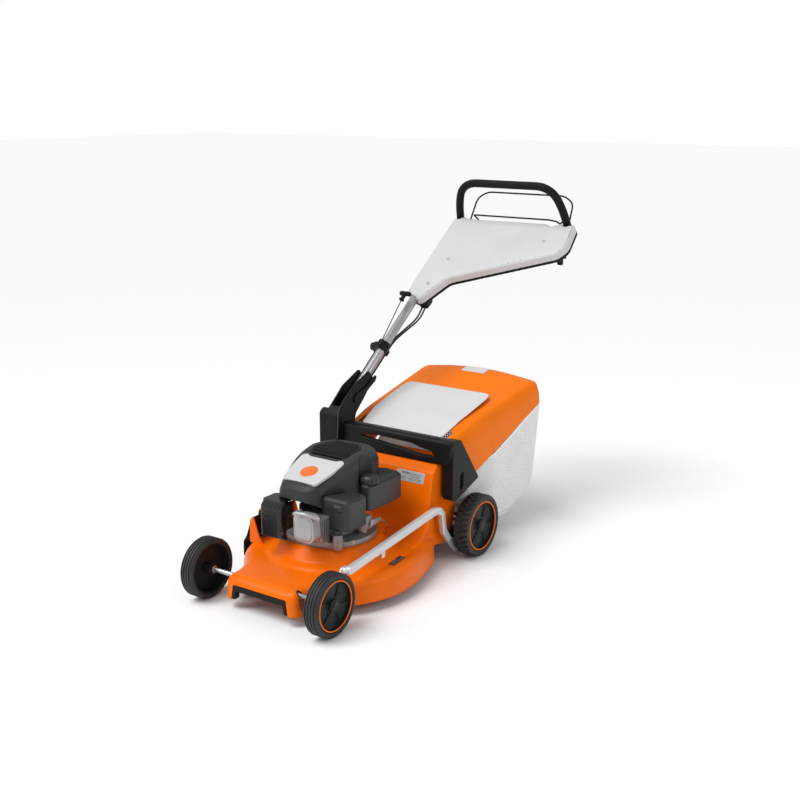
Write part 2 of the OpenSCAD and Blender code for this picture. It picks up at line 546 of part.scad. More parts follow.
// ---------- drive and cutting height ----------
module drive_belt() { color([0.06, 0.06, 0.06]) difference() {
    hull() for (y = [blade_y, wheelbase + 4]) translate([0, y, belt_z - 4.5])
        cylinder(h = 9, r = 39, $fn = 32);
    hull() for (y = [blade_y, wheelbase + 4]) translate([0, y, belt_z - 6])
        cylinder(h = 12, r = 36.6, $fn = 32);
} }
module gearbox() { color([0.3, 0.3, 0.32]) difference() {
    union() {
        bar_x(-48, 42, [wheelbase, rear_axle_z], 11.5);
        slab_x(-30, 30, rounded([[wheelbase - 28, rear_axle_z - 26], [wheelbase - 28, rear_axle_z + 2],
            [wheelbase - 22, rear_axle_z + 7], [wheelbase + 30, rear_axle_z + 7],
            [wheelbase + 34, rear_axle_z - 26]], 6));
        // input shaft and its pulley
        translate([0, wheelbase + 4, rear_axle_z]) cylinder(h = 12, r = 9);
        translate([0, wheelbase + 4, belt_z - 7]) rotate_extrude() polygon([[0, 0], [36, 0], [36, 1.5],
            [29, 5],
            [29, 9], [36, 12.5], [36, 14], [0, 14]]);
    }
    bar_x(-60, 60, [wheelbase, rear_axle_z], axle_r + run_gap);
} }
module drive_shaft() { color("silver") {
    bar_x(-rear_x + 6, rear_x - 6, [wheelbase, rear_axle_z], axle_r);
} }
module rear_cranks() { color([0.2, 0.2, 0.2]) {
    mirror_copy() difference() {
        union() {
            slab_x(tunnel_hw + 7, tunnel_hw + 12, crank_outline(rear_pivot, [wheelbase, rear_axle_z], 16,
                18));
            bar_x(tunnel_hw - 12, tunnel_hw + 12, rear_pivot, pivot_r);
            bar_x(tunnel_hw + 7, tunnel_hw + 25, [wheelbase, rear_axle_z], 13.5);
            slab_x(tunnel_hw + 7, tunnel_hw + 12, crank_outline([wheelbase, rear_axle_z],
                [wheelbase + 44, rear_axle_z], 12, 9));
        }
        bar_x(tunnel_hw, tunnel_hw + 40, [wheelbase, rear_axle_z], axle_r + 2.5);
    }
    slab_x(tunnel_hw + 7, tunnel_hw + 12, crank_outline(rear_pivot, rear_pin, 15, 9));
    bar_x(tunnel_hw + 7, tunnel_hw + 22, rear_pin, pin_r);
    // tie bar that joins both sides and carries the gearbox
    bar_x(-tunnel_hw - 8, tunnel_hw + 8, [wheelbase + 44, rear_axle_z], 6);
    slab_x(-24, 24, rounded([[wheelbase + 34, rear_axle_z - 8], [wheelbase + 34, rear_axle_z + 6],
        [wheelbase + 46, rear_axle_z + 6], [wheelbase + 46, rear_axle_z - 8]], 2));
} }
// Outline of a flat arm between two eyes
function crank_outline(a, b, ra, rb) = let (t = atan2(b[1] - a[1], b[0] - a[0])) concat(
    [for (k = [90:22.5:270]) a + ra * [cos(t + k), sin(t + k)]],
    [for (k = [-90:22.5:90]) b + rb * [cos(t + k), sin(t + k)]]);
module rear_bushes() { color([0.85, 0.83, 0.75]) mirror_copy() difference() {
    bar_x(tunnel_hw + 5, tunnel_hw + 26, [wheelbase, rear_axle_z], axle_r + 2.5);
    bar_x(tunnel_hw, tunnel_hw + 40, [wheelbase, rear_axle_z], axle_r + run_gap);
} }
module front_axle() { color("silver") {
    bar_x(-front_x + 6, front_x - 6, [0, front_axle_z], axle_r);
    mirror_copy() bar_x(front_x - front_tyre_w - 8, front_x - front_tyre_w - 3, [0, front_axle_z], 11);
} }
lever_x = 190;       // inner face of the front lever and the link's front tab
module front_cranks() { color([0.22, 0.22, 0.22]) {
    mirror_copy() difference() {
        slab_x(86, 91, crank_outline(front_pivot, [0, front_axle_z], 10.8, 9.8));
        bar_x(80, 100, [0, front_axle_z], axle_r);
    }
    bar_x(-120, lever_x + 6, front_pivot, pivot_r);
    slab_x(lever_x - 5, lever_x, crank_outline(front_pivot, front_pin, 14, 9));
    bar_x(lever_x - 5, lever_x + 14, front_pin, pin_r);
} }
link_x = 208;        // inner face of the link bar
// height of the bar's centre line at its front and rear bends
link_z = [front_axle_z + 61, front_axle_z + 105];
module height_link() { color([0.82, 0.83, 0.85]) {
    y0 = 92;
    y1 = wheelbase - 200;
    mid = [[y0, link_z[0]], [y1, link_z[1]]];
    difference() {
        union() {
            // channel with a folded top, bent down behind the rear wheel
            slab_x(link_x, link_x + 14, rounded([[y0, link_z[0] - 7], [y0 + 6, link_z[0] + 9],
                [y1, link_z[1] + 11],
                [y1 + 32, link_z[1] + 6], [y1 + 54, link_z[1] - 16], [y1 + 64, 122], [y1 + 92, 84],
                [y1 + 78, 74], [y1 + 46, 112],
                [y1 + 36, link_z[1] - 24], [y1 + 20, link_z[1] - 12], [y1 - 4, link_z[1] - 12],
                [y0 + 10, link_z[0] - 12]], 5));
            // rear tab to the crank, front tab down to the front lever
            slab_x(link_x - 2, link_x + 3, crank_outline([y1 + 82, 86], rear_pin, 9, 17));
            slab_x(lever_x + 1, link_x + 4, rounded([[y0 + 2, link_z[0] - 8], [y0 + 8, link_z[0] + 4],
                [y0 + 26, link_z[0] + 4], [y0 + 24, link_z[0] - 9]], 3));
            slab_x(lever_x + 1, lever_x + 6, rounded([front_pin + [-10, -4], front_pin + [-6, -11],
                front_pin + [8, -11],
                [y0 + 25, link_z[0] - 6], [y0 + 24, link_z[0] + 4], [y0 + 4, link_z[0] + 4]], 4));
            // pointer for the scale
            slab_x(link_x + 10, link_x + 13, rounded([[252, link_z[0] - 14], [252, link_z[0] + 10],
                [268, link_z[0] + 10],
                [266, link_z[0] - 14]], 2));
        }
        bar_x(lever_x, lever_x + 20, front_pin, pin_r + run_gap);
        // upright slot over the rear crank's pin
        slab_x(link_x - 10, link_x + 10, rounded([rear_pin + [-4.6, -12], rear_pin + [4.6, -12],
            rear_pin + [4.6, 12],
            rear_pin + [-4.6, 12]], 4));
    }
} }

// ---------- wheels ----------
// Tyre section: tread radius r, width w, seat radius s, as [radius, offset along the axle]
function tyre_section(r, w, s, grooves) = concat([[s, 3], [s + 5, 0], [r - 12, 0], [r - 3, 3.5], [r, 9]],
    [for (i = [0:grooves - 1]) let (c = w * (i + 1) / (grooves + 1)) for (q = [[0, -2], [-3, -1.2],
    [-3, 1.2], [0, 2]])
        [r + q[0], c + q[1]]],
    [[r, w - 9], [r - 3, w - 3.5], [r - 12, w], [s + 5, w], [s, w - 3]]);
// side = 1 for a left wheel, -1 for a right wheel: the outer face looks away from the mower
module wheel_place(x, y, z, side) { translate([0, y, z]) scale([1, 1, 1]) rotate([0, side > 0 ? 90 : -90, 0])
    translate([0, 0, x]) children(); }
module tyre(r, w, s, grooves) { color([0.07, 0.07, 0.07]) translate([0, 0, -w]) rotate_extrude($fn = 96)
    polygon(tyre_section(r, w, s, grooves)); }
module rim(r, w, s) {
    ring = s - 3;
    color([0.11, 0.11, 0.12]) difference() {
        union() {
            translate([0, 0, -w + 4]) cylinder(h = w - 8, r = s);
            translate([0, 0, -w - 1]) cylinder(h = w - 4, r = 17);
        }
        // dished inside, dished outside
        translate([0, 0, -w + 3]) difference() { cylinder(h = w - 22, r = s - 4); cylinder(h = w, r = 17); }
        translate([0, 0, -13]) difference() { cylinder(h = 20, r = s - 8); cylinder(h = 7, r = 20); }
        for (a = [0:72:288]) rotate(a + 18) hull() { translate([30, 0, -16])
            cylinder(h = 30, r = 6, $fn = 24);
            translate([s - 22, 0, -16]) cylinder(h = 30, r = 9, $fn = 24); }
        translate([0, 0, -w - 5]) cylinder(h = w, r = axle_r + run_gap);
    }
    // accent ring
    color("orange") difference() {
        translate([0, 0, -4]) cylinder(h = 1.5, r = ring);
        translate([0, 0, -5]) cylinder(h = 4, r = ring - 3.5);
    }
}
module front_wheel_part(side, part) { wheel_place(front_x, 0, front_axle_z, side)
    if (part == 0) tyre(front_r, front_tyre_w, front_r - 15, 4); else rim(front_r, front_tyre_w,
        front_r - 15); }
module rear_wheel_part(side, part) { wheel_place(rear_x, wheelbase, rear_axle_z, side)
    if (part == 0) tyre(rear_r, rear_tyre_w, rear_r - 18, 0); else rim(rear_r, rear_tyre_w, rear_r - 18); }

// ---------- flap and catcher ----------
flap_mid = [flap_hinge[0] + 93, flap_hinge[1] + 35];
flap_end = [flap_hinge[0] + 288, flap_hinge[1] + 81.5];
module discharge_flap() { color([0.88, 0.88, 0.88]) {
    intersection() {
        slab_x(-200, 200, [flap_hinge + [0, -2], flap_hinge + [2, 3], flap_mid + [0, 3.5],
            flap_end + [0, 3.5],
            flap_end + [1, 0], flap_mid + [1, 0], flap_hinge + [6, -2]]);
        slab_z(300, 600, rounded([[-154, flap_hinge[0] - 4], [154, flap_hinge[0] - 4], [166, flap_mid[0]],
            [168, flap_end[0] - 30], [160, flap_end[0]], [-160, flap_end[0]], [-168, flap_end[0] - 30],
            [-166, flap_mid[0]]], 22, 4));
    }
    bar_x(-140, 140, flap_hinge + [1, 0], 5);
} }
// Cover section at y: half width, height of the roof's middle, side corner drop
function cover_w(y) = catcher_hw - 26 + 26 * (y - cover_front) / catcher_l;
function cover_z(y) = let (t = (y - cover_front) / catcher_l)
    arch_z - 16 + (t < 0.2 ? t * 165 : t < 0.94 ? 33 + (t - 0.2) * 95 : 103.3 - (t - 0.94) * 160);
function cover_ring(y, g, low) = let (w = cover_w(y) - g, z = cover_z(y) - g,
    c = 14 * max(0, min(1, (y - cover_front - catcher_l * 0.62) / (catcher_l * 0.3)))) [
    [-w - low * 0.02, y, low], [-w, y, z - 46], [-w + 4, y, z - 20], [-w + 11, y, z - 8], [-w + 26, y, z - 2],
    [-w * 0.42, y, z + 1 + c * 0.75], [0, y, z + 2 + c], [w * 0.42, y, z + 1 + c * 0.75],
    [w - 26, y, z - 2], [w - 11, y, z - 8],
    [w - 4, y, z - 20], [w, y, z - 46], [w + low * 0.02, y, low]];
module cover_solid(g) {
    ys = [for (t = [0, 0.1, 0.2, 0.4, 0.6, 0.8, 0.9, 0.96, 1]) cover_front + (g > 0 && t == 0 ? -2 : 0) + t
        * (catcher_l - g)];
    loft([for (i = [0:len(ys) - 1]) let (k = i - len(ys) + 3) [for (q = cover_ring(ys[i],
        g + max(0, k) * 9, 210)) q]]);
}
// Seam between the cover and the basket, as a line in the YZ plane
function seam(y) = 251 + (y - arch_y - 152) * 0.396;
module catcher_cover() { color("darkorange") difference() {
    cover_solid(0);
    cover_solid(catcher_wall);
    // lower edge along the seam, and the diagonal front edge behind the arch's leg
    slab_x(-400, 400, [[arch_y - 50, seam(arch_y - 50)], [cover_back + 50, seam(cover_back + 50)],
        [cover_back + 50, 0],
        [arch_y - 50, 0]]);
    slab_x(-400, 400, [[arch_y + 46, arch_z + 30], [arch_y + 47, arch_z - 2], [arch_y + 157, 247],
        [arch_y + 100, 200],
        [arch_y - 50, 200], [arch_y - 50, arch_z + 30]]);
    // bed of the flap
    slab_x(-176, 176, [flap_hinge + [-60, -8], flap_hinge + [6, -5], flap_mid + [0, -0.6],
        flap_end + [8, -1.2],
        flap_end + [8, 60], flap_hinge + [-60, 60]]);
    // window of the level flap
    translate([0, cover_back - 76, 380]) slab_z(0, 160, [[-48, 0], [48, 0], [48, 42], [-48, 42]]);
} }
level_z = cover_z(cover_back - 55) + 12;   // underside of the level flap
module level_flap() { color([0.9, 0.86, 0.8]) {
    z = level_z;
    box([-47, cover_back - 75, z - 1], [47, cover_back - 35, z + 2.5]);
    bar_x(-47, 47, [cover_back - 73, z - 1], 2.5);
} }
// Basket section between its floor and the seam
function basket_ring(y, g, floor, wt, wb, top) = [[wt - g, y, top], [wt - g - 2, y, floor + 60],
    [wb - g, y, floor + 22 + g],
    [wb - 16, y, floor + g], [-wb + 16, y, floor + g], [-wb + g, y, floor + 22 + g],
    [-wt + g + 2, y, floor + 60], [-wt + g, y, top]];
module basket_solid(g) {
    f = catcher_floor;
    w = catcher_hw - 8;
    s = [[mouth_y + 6, 158, 186, 182], [mouth_y + 104, 150, 200, 196], [mouth_y + 146, f + 18, 214, 204],
        [mouth_y + 180, f, w - 4, 208], [mouth_y + 300, f, w, 212], [cover_back - 60, f + 40, w + 2, 214],
        [cover_back - 14, f + 68, w + 2, 216], [cover_back - 6, f + 110, w - 2, 206]];
    loft([for (i = [0:len(s) - 1]) basket_ring(s[i][0] + (g > 0 ? (i == 0 ? -20 : i == len(s) - 1 ? -g : 0)
        : 0), g,
        s[i][1], s[i][2], s[i][3], 470)]);
}
module catcher_basket() { color([0.9, 0.9, 0.9]) difference() {
    basket_solid(0);
    basket_solid(catcher_wall);
    slab_x(-400, 400, [[mouth_y - 50, seam(mouth_y - 50) - 1], [cover_back + 90, seam(cover_back + 90) - 1],
        [cover_back + 90, 700], [mouth_y - 50, 700]]);
} }

// ---------- handle ----------
module handle_column() { color([0.88, 0.88, 0.9]) on_handle() difference() {
    rotate([-90, 0, 0]) translate([fold_x, 0, -20]) cylinder(h = console_u + 120, r = tube_r);
    rotate([-90, 0, 0]) translate([fold_x, 0, -21]) cylinder(h = console_u + 122, r = tube_r - 2);
    bar_x(fold_x - 40, fold_x + 40, [0, 0], 5 + run_gap);
} }
guide_u = 200;
module rope_guide() { color([0.06, 0.06, 0.07]) on_handle() difference() {
    union() {
        rotate([-90, 0, 0]) translate([fold_x, 0, guide_u - 18]) cylinder(h = 36, r = tube_r + 4);
        // clamp block with its knob on the outside, rope eye on top, cable clip below
        box([fold_x - tube_r - 20, guide_u - 16, -13], [fold_x - tube_r + 2, guide_u + 14, 13]);
        bar_x(fold_x - tube_r - 30, fold_x - tube_r - 20, [guide_u, 0], 14);
        box([fold_x - 8, guide_u - 12, tube_r + 1], [fold_x + 8, guide_u + 14, tube_r + 15]);
        box([fold_x - 10, guide_u - 10, -tube_r - 17], [fold_x + 10, guide_u + 10, -tube_r - 1]);
    }
    rotate([-90, 0, 0]) translate([fold_x, 0, guide_u - 40]) cylinder(h = 90, r = tube_r + run_gap);
    rotate([-90, 0, 0]) translate([fold_x, -tube_r - 9, guide_u - 40]) cylinder(h = 90, r = 3.2);
    for (s = [-1, 1]) rotate([-90, 0, 0]) translate([fold_x + s * 4.4, tube_r + 8, guide_u - 40])
        cylinder(h = 90, r = 3.5);
} }
// Console outline in the handle frame: x, u from the fold pivot
function console_outline(d) = let (r = console_w / 2, u0 = console_u, u1 = console_u + console_l) rounded([
    [fold_x - 32 + d, u0 + d], [fold_x + 32 - d * 0.7, u0 - 22 + d], [fold_x + 92 - d * 0.6, u0 + 92 + d],
    [r - 2 - d * 0.6, u0 + 250 + d],
    [r + 20 - d, u0 + 292], [r + 8 - d, u1 - 4 - d], [r - 54, u1 - 2 - d], [r - 78, u1 - 22 - d],
    [r - 100, u1 - 6 - d],
    [-r + 84, u1 - 10 - d], [-r + 8 + d, u1 + 6 - d], [-r + 6 + d, u0 + 60]], 14, 3);
shell_top = 20;      // the column's axis lies this far under the console's face
shell_split = -12;   // the two shells meet here
module console_top() { color([0.86, 0.86, 0.87]) on_handle() difference() {
    union() {
        translate([0, 0, shell_split]) linear_extrude(shell_top - shell_split - 8)
            polygon(console_outline(0));
        translate([0, 0, shell_top - 8]) linear_extrude(4) polygon(console_outline(3));
        translate([0, 0, shell_top - 4]) linear_extrude(3) polygon(console_outline(8));
    }
    translate([0, 0, shell_split - 1]) linear_extrude(shell_top - shell_split - 4)
        polygon(console_outline(4));
    rotate([-90, 0, 0]) translate([fold_x, 0, console_u - 60]) cylinder(h = 200, r = tube_r + fit_gap);
    for (p = screw_spots) translate([p[0], p[1], 0]) cylinder(h = 40, r = 2.2);
    for (s = [-1, 1]) translate([s * loop_x, loop_u + 2, -10]) cylinder(h = 60, r = loop_d / 2 + 4);
} }
module console_base() { color([0.06, 0.06, 0.065]) on_handle() difference() {
    union() {
        translate([0, 0, shell_split - 10]) linear_extrude(10 - fit_gap) polygon(console_outline(-1));
        // brackets of the bails behind the console's rear edge
        mirror_copy() box([bail_x - 26, console_end - 30, -console_t + 6],
            [bail_x + 2, console_end + 2, shell_split - 1]);
        // pin of the speed lever
        box([console_w / 2 - 8, speed_un[0] - 10, speed_un[1] - 9], [console_w / 2 - 3, speed_un[0] + 10,
            shell_split - 1]);
        bar_x(console_w / 2 - 42, console_w / 2 - 7, speed_un, 4);
        // cable outlet near the column, on the underside
        slab_x(fold_x + 14, fold_x + 44, rounded([[console_u - 4, shell_split - 8],
            [console_u - 16, shell_split - 26],
            [console_u + 20, shell_split - 30], [console_u + 50, shell_split - 8]], 5));
        // lugs of the loop
        for (s = [-1, 1]) translate([s * loop_x, loop_u, shell_split - 14])
            cylinder(h = 14, r = loop_d / 2 + 3);
    }
    mirror_copy() bar_x(bail_x - 6, bail_x + 20, bail_pivot, 3 + run_gap);
    mirror_copy() bar_x(bail_x - 40, bail_x - 12, drive_pivot, 3 + run_gap);
    rotate([-90, 0, 0]) translate([fold_x, 0, console_u - 60]) cylinder(h = 190, r = tube_r + fit_gap);
    translate([0, 0, -20]) for (p = screw_spots) translate([p[0], p[1], 0]) cylinder(h = 40, r = 2.2);
} }
screw_spots = [[fold_x + 32, console_u + 52], [fold_x + 52, console_u + 176],
    [console_w / 2 - 70, console_u + 300]];
module console_screws() { color([0.5, 0.5, 0.52]) on_handle() for (p = screw_spots)
    translate([p[0], p[1], 0]) {
    translate([0, 0, shell_split - 8]) cylinder(h = shell_top - shell_split + 6.8, r = 2);
    translate([0, 0, shell_top - 1]) difference() { cylinder(h = 2.4, r = 5);
        translate([0, 0, 1]) cylinder(h = 3, r = 2.4, $fn = 6); }
} }
loop_x = console_w / 2 - 25;
loop_u = console_u + console_l - 4;
loop_lean = 22;      // how far the loop leans forwards of upright
module handle_loop() { color([0.05, 0.05, 0.05]) {
    a = handle_pt(loop_x, loop_u, 0);
    up = [0, -sin(loop_lean), cos(loop_lean)];
    half = [a, a + loop_h * 0.44 * up + [-10, 0, 0], a + loop_h * 0.82 * up + [-30, 0, 0],
        a + loop_h * up + [-72, 0, 0]];
    m = [for (p = half) [-p[0], p[1], p[2]]];
    sweep(bent(concat(m, [for (i = [len(half) - 1:-1:0]) half[i]]), 30, 4), loop_d / 2, 14);
} }
bail_x = 186;
bail_pivot = [console_end - 6, -console_t + 14];
drive_pivot = [console_end - 20, -console_t + 14];
speed_un = [console_u + 300, shell_split - 22];
// A bail of round wire, mirrored from its right half; its two ends turn in the console's brackets
module bail(half, bend) {
    sweep(bent(concat([for (q = half) [-q[0], q[1], q[2]]], [for (i = [len(half) - 1:-1:0]) half[i]]),
        bend, 4), 3, 12);
}
module stop_bail() { color([0.04, 0.04, 0.04]) {
    p = handle_pt(bail_x, bail_pivot[0], bail_pivot[1]);
    up = [0, bail_reach - 14, 107];
    bail([p + [-4, 0, 0], p + [10, 0, 0], p + [12, 24, 30], p + [6, 0, 0] + 0.9 * up,
        p + up + [-40, 4, 12]], 14);
} }
module drive_bail() { color([0.04, 0.04, 0.04]) {
    p = handle_pt(bail_x - 22, drive_pivot[0], drive_pivot[1]);
    bail([p + [8, 0, 0], p + [-16, 0, 0], p + [-16, 30, 14], p + [22, 33, 22], p + [22, 36, 46],
        p + [-40, 36, 46]], 8);
} }
module speed_lever() { color([0.05, 0.05, 0.05]) on_handle() difference() {
    union() {
        bar_x(console_w / 2 - 40, console_w / 2 - 12, speed_un, 8);
        slab_x(console_w / 2 - 34, console_w / 2 - 20, rounded([speed_un + [-8, 0], speed_un + [8, 0],
            speed_un + [0, -32], speed_un + [-14, -28]], 4));
    }
    bar_x(console_w / 2 - 50, console_w / 2, speed_un, 4 + run_gap);
} }
lock_un = [-30, 6];   // pivot of the lock lever, in the handle's frame
module lock_lever() { color([0.05, 0.05, 0.05]) on_handle() {
    x = fold_x + tube_r + 1.5 + cheek + fit_gap;
    bar_x(fold_x + tube_r + 3, x + 4.6, lock_un, 4);
    slab_x(x, x + 4.6, rounded([[-42, 14], [-42, -4], [-18, -12], [78, -26], [92, -20], [90, -10],
        [30, -2], [-20, 16]], 5));
} }
grip_u = 375;
grip_n = tube_r + 38;        // the grip's axis above the column's
module start_grip() { color([0.05, 0.05, 0.05]) on_handle() {
    x = fold_x;
    n = grip_n;
    rotate([-90, 0, 0]) translate([x, -n, grip_u]) { cylinder(h = 3, r = 10); cylinder(h = 26, r = 6.5); }
    hull() for (s = [-1, 1]) rotate([-90, 0, 0]) translate([x + s * 15, -n, grip_u + 30])
        sphere(r = 8.5, $fn = 24);
} }
module start_rope() { color([0.1, 0.1, 0.1])
    sweep([handle_pt(fold_x, grip_u - 1, grip_n), handle_pt(fold_x, guide_u + 24, tube_r + 12),
        handle_pt(fold_x, guide_u, tube_r + 9), handle_pt(fold_x, guide_u - 90, tube_r + 9),
        handle_pt(fold_x, 0, tube_r + 6)], 1.8, 8); }
module control_cables() { color([0.06, 0.06, 0.06]) for (s = [-1, 1])
    sweep(bent([handle_pt(fold_x + 30 + s * 6, console_u - 6, shell_split - 18),
        handle_pt(fold_x + 30 + s * 6, console_u - 60, -tube_r - 26),
        handle_pt(fold_x + s * 4.4, guide_u + 60, -tube_r - 10), handle_pt(fold_x + s * 4.4, guide_u + 16,
        -tube_r - 8),
        handle_pt(fold_x + s * 4.4, guide_u - 60, -tube_r - 8), handle_pt(fold_x + s * 4.4, 0,
        -tube_r - 6)], 30, 3), 3.1, 8); }
module cable_tails() { color([0.06, 0.06, 0.06]) {
    for (s = [-1, 1]) sweep(bent([handle_pt(fold_x + s * 4.4, -1, -tube_r - 6),
        handle_pt(fold_x + s * 4.4, -40, -tube_r - 8),
        [fold_x + s * 4.4, arch_y + 4, arch_z - 30], [fold_x + s * 4.4, arch_y + 2, 240 + s * 4],
        [fold_x + s * 4.4, arch_y, 190]], 24, 3), 3.1, 8);
    sweep(bent([handle_pt(fold_x, -1, tube_r + 6), handle_pt(fold_x, -60, tube_r + 9),
        [fold_x + 50, arch_y - 70, arch_z + 52],
        [eng_x - 50, blade_y + 120, roof_z + 4]], 20, 3), 1.8, 8);
} }

// ---------- small parts ----------
module fasteners() { color([0.6, 0.6, 0.62]) {
    for (a = bolt_angles) translate([110 * cos(a), blade_y + 110 * sin(a), seat_z]) {
        translate([0, 0, 30]) cylinder(h = 6, r = 7, $fn = 6);
        translate([0, 0, -26]) cylinder(h = 56, r = 4);
        translate([0, 0, -26]) cylinder(h = 8, r = 7, $fn = 6);
    }
    bar_x(fold_x - tube_r - cheek - 4, fold_x + tube_r + cheek + 1.2, [fold_y, fold_z], 5);
    bar_x(fold_x - tube_r - cheek - 8, fold_x - tube_r - cheek - 1.5, [fold_y, fold_z], 8);
} }
module deck_plates() {
    // cutting height scale on the left shoulder, rating plate on the tunnel's ramp
    color([0.08, 0.08, 0.08]) translate([219, blade_y + 28, shoulder_z]) rotate([0, 0, 7])
        translate([-10, -36, 0]) cube([20, 72, 1]);
    color("silver") translate([115, blade_y + 249, 284]) rotate([atan2(44, 18), 0, 0])
        translate([-54, -20, 0.1]) cube([108, 36, 1.2]);
}

module placed() { translate([0, -frame_y, 0]) children(); }

placed() deck_shell();
placed() front_liner();
placed() rear_arch();
placed() handle_bracket();
placed() crankcase();
placed() cylinder_block();  // cylinder
placed() valve_cover();
placed() engine_shroud();
placed() shroud_panel();
placed() recoil_grille();
placed() fuel_tank();
placed() air_filter();
placed() carburettor();
placed() muffler();
placed() muffler_guard();
placed() spark_plug();
placed() fasteners();
placed() deck_plates();
placed() drive_belt();
placed() cable_tails();
placed() front_axle();
placed() front_cranks();
placed() rear_cranks();
placed() gearbox();
placed() rear_bushes();
placed() drive_shaft();
placed() height_link();
placed() front_wheel_part(1, 0);  // tyre_front_left
placed() front_wheel_part(1, 1);  // rim_front_left
placed() front_wheel_part(-1, 0);  // tyre_front_right
placed() front_wheel_part(-1, 1);  // rim_front_right
placed() rear_wheel_part(1, 0);  // tyre_rear_left
placed() rear_wheel_part(1, 1);  // rim_rear_left
placed() rear_wheel_part(-1, 0);  // tyre_rear_right
placed() rear_wheel_part(-1, 1);  // rim_rear_right
placed() crankshaft();
placed() flywheel();
placed() blade();
placed() blade_bolt();
placed() discharge_flap();
placed() catcher_cover();
placed() catcher_basket();
placed() level_flap();
placed() handle_column();
placed() rope_guide();
placed() console_top();
placed() console_base();
placed() console_screws();
placed() handle_loop();
placed() control_cables();
placed() start_rope();
placed() lock_lever();
placed() start_grip();
placed() stop_bail();
placed() drive_bail();
placed() speed_lever();
placed() fuel_cap();
placed() oil_cap();
placed() side_cover();
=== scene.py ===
import bpy, bmesh, math
from math import sin, cos, pi, radians
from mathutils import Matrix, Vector


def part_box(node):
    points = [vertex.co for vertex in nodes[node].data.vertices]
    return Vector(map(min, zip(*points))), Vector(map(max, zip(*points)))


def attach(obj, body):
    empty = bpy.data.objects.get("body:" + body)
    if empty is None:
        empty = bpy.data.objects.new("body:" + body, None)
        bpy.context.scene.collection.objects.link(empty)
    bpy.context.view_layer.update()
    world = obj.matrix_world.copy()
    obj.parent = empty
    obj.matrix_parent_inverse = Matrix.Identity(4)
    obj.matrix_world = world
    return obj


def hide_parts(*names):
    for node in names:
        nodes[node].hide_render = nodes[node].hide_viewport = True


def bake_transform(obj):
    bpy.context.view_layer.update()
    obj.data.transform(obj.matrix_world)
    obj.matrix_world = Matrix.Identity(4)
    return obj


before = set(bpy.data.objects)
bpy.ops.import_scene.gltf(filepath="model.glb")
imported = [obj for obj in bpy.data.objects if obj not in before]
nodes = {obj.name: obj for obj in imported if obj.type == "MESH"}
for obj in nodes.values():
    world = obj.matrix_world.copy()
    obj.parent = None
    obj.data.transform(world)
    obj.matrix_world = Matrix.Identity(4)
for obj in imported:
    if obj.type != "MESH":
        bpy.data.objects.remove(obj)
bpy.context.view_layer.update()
scene = bpy.context.scene

# ---------------------------------------------------------------- frame
# Lengths below are millimetres in the drawing frame: y = 0 at the front axle, z = 0 on the ground.
_a, _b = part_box("front_axle")
FY = -(_a.y + _b.y) / 2
WB = (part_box("drive_shaft")[0].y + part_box("drive_shaft")[1].y) / 2 * 1000 + FY * 1000


def P(x, y, z):
    """Drawing frame in millimetres to the object's frame in metres."""
    return Vector((x / 1000, y / 1000 - FY, z / 1000))


ARCH_Y, BLADE_Y = 600, 300     # the carrying arch and the blade axis, behind the front axle
FOLD = (-200, 684, 479)        # pivot of the folding handle
HANDLE_SLOPE = radians(37)
CA, SA = cos(HANDLE_SLOPE), sin(HANDLE_SLOPE)


def H(x, u, n):
    """A point of the upright handle: u up the column from the fold pivot, n above its axis."""
    return P(x, FOLD[1] + u * CA - n * SA, FOLD[2] + u * SA + n * CA)


# ---------------------------------------------------------------- camera
cam = bpy.data.cameras.new("camera")
cam.sensor_width = 36
cam.lens = 52.96
cam_o = bpy.data.objects.new("camera", cam)
scene.collection.objects.link(cam_o)
AZ, EL = radians(34.98), radians(14.63)
back = Vector((sin(AZ) * cos(EL), -cos(AZ) * cos(EL), sin(EL)))
cam_o.location = (2.0701, -2.3012 - FY, 1.4299)
cam_o.rotation_euler = back.to_track_quat("Z", "Y").to_euler()
scene.camera = cam_o


